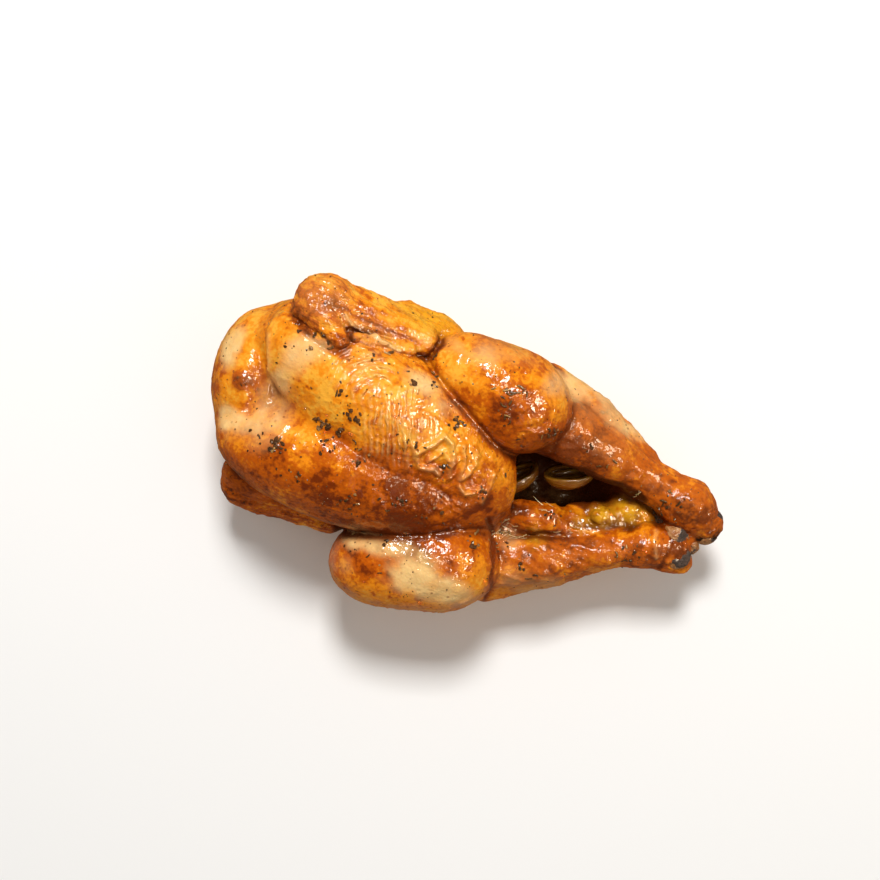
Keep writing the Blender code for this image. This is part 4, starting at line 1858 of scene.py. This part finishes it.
@dataclass
class OnionPetal:
    """A curved layer of onion with thick rounded edges and a thinner leaf inside."""

    node: str
    centre: Triple
    angles: Triple
    radii: Triple = (14.0, 9.0, 8.0)
    thickness: float = 3.3
    opening: float = 0.18
    columns: int = 44
    rows: int = 22

    def _leaf(self, pile: Pile, shrink: float, opening: float, seed: int) -> None:
        """Add one cupped leaf.

        Args:
            pile: Where it's kept.
            shrink: Taken off every radius.
            opening: Height of the leaf's edge as a share of its depth.
            seed: Picks its waviness.
        """
        around = np.linspace(0.0, 2.0 * math.pi, self.columns, endpoint=False)
        down = np.linspace(math.acos(opening), math.pi, self.rows)
        down, around = np.meshgrid(down, around, indexing="ij")
        unit = np.stack([np.sin(down) * np.cos(around), np.sin(down) * np.sin(around), np.cos(down)], -1).reshape(-1, 3)
        outer_size = np.array(self.radii) - shrink
        wave = 1.0 + 0.06 * Noise(seed).layered(unit * 10.0, 8.0, 2)[:, None]
        outer = unit * outer_size * wave
        inner = unit * (outer_size - self.thickness) * wave
        inner[:, 2] += 0.3
        count = len(outer)
        cols = self.columns
        faces = []
        for row in range(self.rows - 1):
            for col in range(cols):
                a, b = row * cols + col, row * cols + (col + 1) % cols
                c, d = b + cols, a + cols
                faces.append([d, c, b, a])
                faces.append([a + count, b + count, c + count, d + count])
        for col in range(cols):
            a, b = col, (col + 1) % cols
            faces.append([a, b, b + count, a + count])
        points = np.concatenate([outer, inner]) @ turn(*self.angles).T + np.array(self.centre)
        pile.add(points, faces, 0.0)
        height = np.concatenate([unit[:, 2], unit[:, 2]])
        pile.tones[-1] = smoothstep(opening - 0.35, opening, height)
        self.veins.append(np.tile(np.degrees(np.arctan2(unit[:, 2], unit[:, 1])) / 9.0, 2))

    def build(self, material: Material) -> Piece:
        """Make the petal.

        Args:
            material: Its finish.

        Returns:
            The petal.
        """
        self.veins: list[Array] = []
        pile = Pile()
        self._leaf(pile, 0.0, self.opening, 401)
        self._leaf(pile, self.thickness + 0.4, self.opening - 0.12, 402)
        petal = dress(pile.to_object(self.node + "_flesh"), material)
        paint(petal.data, "vein", np.concatenate(self.veins))
        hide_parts(self.node)
        return petal


@dataclass(frozen=True)
class JuiceFinish:
    """Clear amber basting juice."""

    colour: Colour = (0.95, 0.62, 0.25)

    def make(self) -> Material:
        """Build the material.

        Returns:
            The material.
        """
        s = Shader("basting_juice")
        s.set({"Base Color": (*self.colour, 1.0), "Roughness": 0.05, "IOR": 1.40, "Transmission Weight": 0.9})
        return s.material


@dataclass
class Juice:
    """Beads of basting juice."""

    seed: int = 88
    count: int = 130
    size: tuple[float, float] = (0.35, 1.1)
    patches: tuple[Cluster, ...] = (
        Cluster(-15, -2, 14, 9.0), Cluster(12, -6, 12, 6.0), Cluster(-70, -6, 10, 9.0), Cluster(-80, 52, 14, 9.0),
        Cluster(14, 40, 10, 9.0), Cluster(-12, 28, 8, 5.0), Cluster(40, 32, 8, 5.0), Cluster(112, 12, 10, 7.0),
        Cluster(34, -28, 10, 6.0), Cluster(100, -8, 10, 8.0),
    )

    def build(self, surface: Surface) -> Piece:
        """Lay the beads on the skin.

        Args:
            surface: The skin.

        Returns:
            The beads.
        """
        random = np.random.default_rng(self.seed)
        pile = Pile()
        spots = [random.normal((p.x, p.y), p.reach * 0.6) for p in self.patches for _ in range(p.count)]
        spots += [random.uniform((-130, -76), (130, 70)) for _ in range(self.count)]
        for x, y in spots:
            found = surface.above(x, y, 0.35, 30.0)
            if found is None:
                continue
            place, normal = found
            points, faces = ball(2)
            size = random.uniform(*self.size) * random.uniform(0.5, 1.0)
            points = points * (size * random.uniform(0.8, 1.6), size * random.uniform(0.7, 1.1), size * 0.5)
            pile.add(points @ frame_on(normal, random.uniform(0, 6.28)).T + place, faces, 0.5)
        return dress(pile.to_object("basting_juice"), JuiceFinish().make())


@dataclass
class Bird:
    """The whole bird's skin."""

    step: float = 1.2
    kept: float = 0.54
    fine: tuple[Spot, ...] = (
        Spot((-42, 14, 100), 64, squash=(1.1, 0.8, 2.0)), Spot((2, -2, 86), 36, squash=(1.0, 1.0, 2.0)),
        Spot((-84, 50, 95), 34, squash=(1.2, 0.8, 1.5)), Spot((130, 4, 46), 26, squash=(1.0, 1.3, 1.5)),
    )
    carcass: Carcass = field(default_factory=Carcass)
    legs: tuple[Leg, ...] = (LEFT_LEG, RIGHT_LEG)
    wings: tuple[Wing, ...] = (LEFT_WING, RIGHT_WING)
    relief: SkinRelief = field(default_factory=SkinRelief)
    tone: SkinTone = field(default_factory=SkinTone)
    finish: SkinFinish = field(default_factory=SkinFinish)
    mask_names: tuple[str, ...] = (
        "roast", "pale", "char", "fat", "pink", "rim", "inner", "crest", "crease", "breast", "wing", "top",
        "crumple", "ridge", "chevron", "rib", "arc", "chevron_phase", "rib_phase", "arc_phase",
    )
    crumpled: tuple[Spot, ...] = (
        Spot((2, 0, 86), 20, 0.2), Spot((-14, 20, 94), 18, 0.5), Spot((0, 20, 84), 16, 0.3),
        Spot((-58, 30, 100), 26, 0.5), Spot((-84, 50, 95), 24, 0.5), Spot((24, 34, 84), 26, 0.7),
        Spot((-10, 50, 90), 22, 0.35), Spot((-110, 10, 84), 24, 0.35), Spot((128, 6, 46), 26, 0.6),
        Spot((0, -62, 76), 30, 0.35), Spot((-20, -26, 84), 36, 0.4),
    )

    def sculpt(self) -> Clay:
        """Build the bird's field.

        Returns:
            The clay.
        """
        clay = Clay(self.step)
        self.carcass.shape(clay)
        for leg in self.legs:
            leg.thigh_shape(clay)
        self.carcass.hollow(clay)
        for leg in self.legs:
            leg.shape(clay)
        for wing in self.wings:
            wing.shape(clay)
        clay.flatten_floor()
        return clay

    def build(self, effects: Effects) -> tuple[Piece, Surface]:
        """Make the skin with its wrinkles, masks and material.

        Args:
            effects: The shared node groups.

        Returns:
            The skin, and its surface to lay things on.
        """
        clay = self.sculpt()
        mesh = self.lighten(clay.to_mesh("chicken_draft"), clay)
        self.refine(mesh, clay)
        points, normals = read_mesh(mesh)
        masks = self.tone.masks(points, normals, clay)
        height = self.relief.height(points, normals, masks)
        # crest and ridge pale the crest tops in the skin material: partly their own cream, partly painted highlight
        masks["crest"] = np.clip(0.5 + 0.4 * self.relief.drawn(points, normals), 0.0, 1.0)
        folded = sum(fold.weight(points) for fold in self.relief.folds[:7])
        masks["ridge"] = np.clip(folded / 2.0, 0.0, 1.0) * smoothstep(0.0, 0.35, normals[:, 2])
        masks["top"] = smoothstep(-0.05, 0.6, normals[:, 2])
        masks["top"] *= np.clip(1.0 - gather(self.tone.dulled, points), 0.0, 1.0)
        masks["top"] *= 1.0 - 0.75 * masks["shank"]
        masks["crumple"] = np.clip(gather(self.crumpled, points), 0.0, 1.0)
        for name, wrinkle in zip(("chevron", "rib", "arc"), self.relief.wrinkles):
            masks[name + "_phase"] = wrinkle.phase(points)
            masks[name] = wrinkle.weight(points)
        rest = smoothstep(0.3, 5.0, points[:, 2])
        moved = points + normals * (height * rest)[:, None]
        moved[:, 2] = np.maximum(moved[:, 2], 0.0)
        write_points(mesh, to_part(moved))
        for name in self.mask_names:
            paint(mesh, name, masks[name])
        mesh.shade_smooth()
        skin = dress(add_object("chicken_skin", mesh), self.finish.make(effects))
        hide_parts("roast_chicken")
        faces = [tuple(face.vertices) for face in mesh.polygons]
        return skin, Surface(moved, faces)

    def lighten(self, mesh: Mesh, clay: Clay) -> Mesh:
        """Thin the faces of the hollow and the underside, which lie flat and out of sight.

        Args:
            mesh: The dense mesh.
            clay: The field that it was drawn round.

        Returns:
            The lighter mesh.
        """
        points, normals = read_mesh(mesh)
        inner = self.tone.masks(points, normals, clay)["inner"]
        hidden = np.maximum(smoothstep(0.05, -0.35, normals[:, 2]), 0.8 * inner * (points[:, 0] < 20.0))
        draft = add_object("chicken_draft", mesh)
        group = draft.vertex_groups.new(name="hidden")
        for level in range(1, 5):
            chosen = np.nonzero(np.round(hidden * 4.0) == level)[0]
            group.add(chosen.tolist(), level / 4.0, "REPLACE")
        thin = draft.modifiers.new("thin", "DECIMATE")
        thin.ratio = self.kept
        thin.vertex_group = "hidden"
        thin.vertex_group_factor = 10.0
        shown = draft.evaluated_get(bpy.context.evaluated_depsgraph_get())
        lighter = bpy.data.meshes.new_from_object(shown)
        bpy.data.objects.remove(draft)
        return lighter

    def refine(self, mesh: Mesh, clay: Clay) -> None:
        """Split the faces where the skin is finely wrinkled, and lay the new points on the field.

        Args:
            mesh: The mesh, changed in place.
            clay: The field that it was drawn round.
        """
        points, _ = read_mesh(mesh)
        wanted = gather(self.fine, points) > 0.5
        shape = bmesh.new()
        shape.from_mesh(mesh)
        edges = [edge for edge in shape.edges if wanted[edge.verts[0].index] and wanted[edge.verts[1].index]]
        bmesh.ops.subdivide_edges(shape, edges=edges, cuts=1, use_grid_fill=True)
        shape.to_mesh(mesh)
        shape.free()
        mesh.update()
        points, normals = read_mesh(mesh)
        near = gather(self.fine, points) > 0.3
        off = clay.sample(points[near])
        points[near] -= normals[near] * np.clip(off, -0.4, 0.4)[:, None]
        write_points(mesh, points)


def read_mesh(mesh: Mesh) -> tuple[Array, Array]:
    """A mesh's points and normals.

    Args:
        mesh: The mesh.

    Returns:
        Points and normals, each N by 3.
    """
    count = len(mesh.vertices)
    points = np.empty(count * 3, np.float32)
    normals = np.empty(count * 3, np.float32)
    mesh.vertices.foreach_get("co", points)
    mesh.vertex_normals.foreach_get("vector", normals)
    return points.reshape(-1, 3).astype(float), normals.reshape(-1, 3).astype(float)


def write_points(mesh: Mesh, points: Array) -> None:
    """Move a mesh's points.

    Args:
        mesh: The mesh.
        points: Places, N by 3.
    """
    mesh.vertices.foreach_set("co", points.astype(np.float32).ravel())
    mesh.update()


@dataclass(frozen=True)
class Lamp:
    """A square soft light that faces the bird, with its power as a share of the key's."""

    name: str
    place: Triple
    size: float
    share: float
    sheen_only: bool = False


@dataclass
class Studio:
    """Floor, soft lights and the camera."""

    view_turn: float = 19.3
    camera_height: float = 0.9
    camera_above: tuple[float, float] = (-0.018, 0.0152)
    lens: float = 65.74
    floor_size: float = 4.0
    floor_colour: Colour = (0.86, 0.85, 0.83)
    key_power: float = 40.0
    lamps: tuple[Lamp, ...] = (
        Lamp("key", (-0.34, 1.02, 1.75), 0.46, 1.0),
        Lamp("fill", (1.2, -0.6, 1.6), 1.4, 0.08),
        Lamp("spark", (0.24, 0.22, 1.5), 0.26, 0.13, True),
        Lamp("glint", (0.95, 0.38, 1.0), 0.40, 0.65, True),
        Lamp("glint_low", (1.0, -0.55, 0.95), 0.2, 0.10, True),
    )
    sheen_colour: Colour = (1.0, 0.84, 0.64)
    aim: Triple = (0.0, 0.0, 0.05)
    world_light: float = 0.33
    world_gloss: float = 0.12
    world_seen: float = 0.88

    def build(self) -> None:
        """Set up the stage."""
        self._floor()
        self._camera()
        for lamp in self.lamps:
            self._light(lamp)
        self._world()
        bpy.context.scene.view_settings.view_transform = "Standard"

    def _world(self) -> None:
        """Light the scene evenly from all round, dimmer and warmer in gloss and bright behind the floor."""
        world = bpy.data.worlds.new("studio_world")
        bpy.context.scene.world = world
        world.use_nodes = True
        tree = world.node_tree
        back = tree.nodes["Background"]
        tint = tree.nodes.new("ShaderNodeMix")
        tint.data_type = "RGBA"
        tint.inputs["A"].default_value = (1.0, 0.97, 0.93, 1.0)
        tint.inputs["B"].default_value = (1.0, 0.70, 0.42, 1.0)
        path = tree.nodes.new("ShaderNodeLightPath")
        tree.links.new(path.outputs["Is Glossy Ray"], tint.inputs["Factor"])
        tree.links.new(tint.outputs["Result"], back.inputs["Color"])
        dim = tree.nodes.new("ShaderNodeMapRange")
        dim.inputs["To Min"].default_value = self.world_light
        dim.inputs["To Max"].default_value = self.world_gloss
        tree.links.new(path.outputs["Is Glossy Ray"], dim.inputs["Value"])
        seen = tree.nodes.new("ShaderNodeMath")
        seen.operation = "MULTIPLY_ADD"
        seen.inputs[1].default_value = self.world_seen - self.world_light
        tree.links.new(path.outputs["Is Camera Ray"], seen.inputs[0])
        tree.links.new(dim.outputs["Result"], seen.inputs[2])
        tree.links.new(seen.outputs[0], back.inputs["Strength"])

    def _floor(self) -> None:
        """Lay the pale floor."""
        half = self.floor_size / 2.0
        mesh = bpy.data.meshes.new("floor")
        corners = [(-half, -half, 0.0), (half, -half, 0.0), (half, half, 0.0), (-half, half, 0.0)]
        mesh.from_pydata(corners, [], [(0, 1, 2, 3)])
        s = Shader("floor")
        s.set({"Base Color": (*self.floor_colour, 1.0), "Roughness": 0.7})
        mesh.materials.append(s.material)
        floor = add_object("floor", mesh)
        floor.location.z = -0.0002
        floor.visible_glossy = False

    def _camera(self) -> None:
        """Hang the camera over the bird."""
        data = bpy.data.cameras.new("camera")
        data.sensor_width = 36.0
        data.lens = self.lens
        camera = add_object("camera", data)
        camera.location = (*self.camera_above, self.camera_height)
        camera.rotation_euler = (0.0, 0.0, math.radians(self.view_turn))
        bpy.context.scene.camera = camera

    def _light(self, lamp: Lamp) -> None:
        """Add a light; one for sheen alone shows in gloss only.

        Args:
            lamp: Its name, place, size and power.
        """
        data = bpy.data.lights.new(lamp.name, "AREA")
        data.size = lamp.size
        data.energy = self.key_power * lamp.share
        if lamp.sheen_only:
            data.color = self.sheen_colour
        light = add_object(lamp.name, data)
        light.location = lamp.place
        light.visible_diffuse = not lamp.sheen_only
        way = Vector(self.aim) - Vector(lamp.place)
        light.rotation_euler = way.to_track_quat("-Z", "Y").to_euler()


def main() -> None:
    """Build every piece in order."""
    logging.basicConfig(level=logging.INFO, format="%(message)s")
    effects = Effects()
    skin, surface = Bird().build(effects)
    onion = OnionFinish().make(effects)
    pieces = [
        skin,
        Knuckles().build(effects),
        OnionPetal("onion_petal_front", (30, 5, 45), (45, 5, -60)).build(onion),
        OnionPetal("onion_petal_rear", (57, 16, 43), (24, 0, -58)).build(onion),
        Sinews().build(surface),
        Pepper().build(surface, effects),
        Herbs().build(surface, effects),
        Juice().build(surface),
    ]
    for piece in pieces:
        log.info("%s: %d faces", piece.name, len(piece.data.polygons))
    Studio().build()


if __name__ == "__main__":
    main()
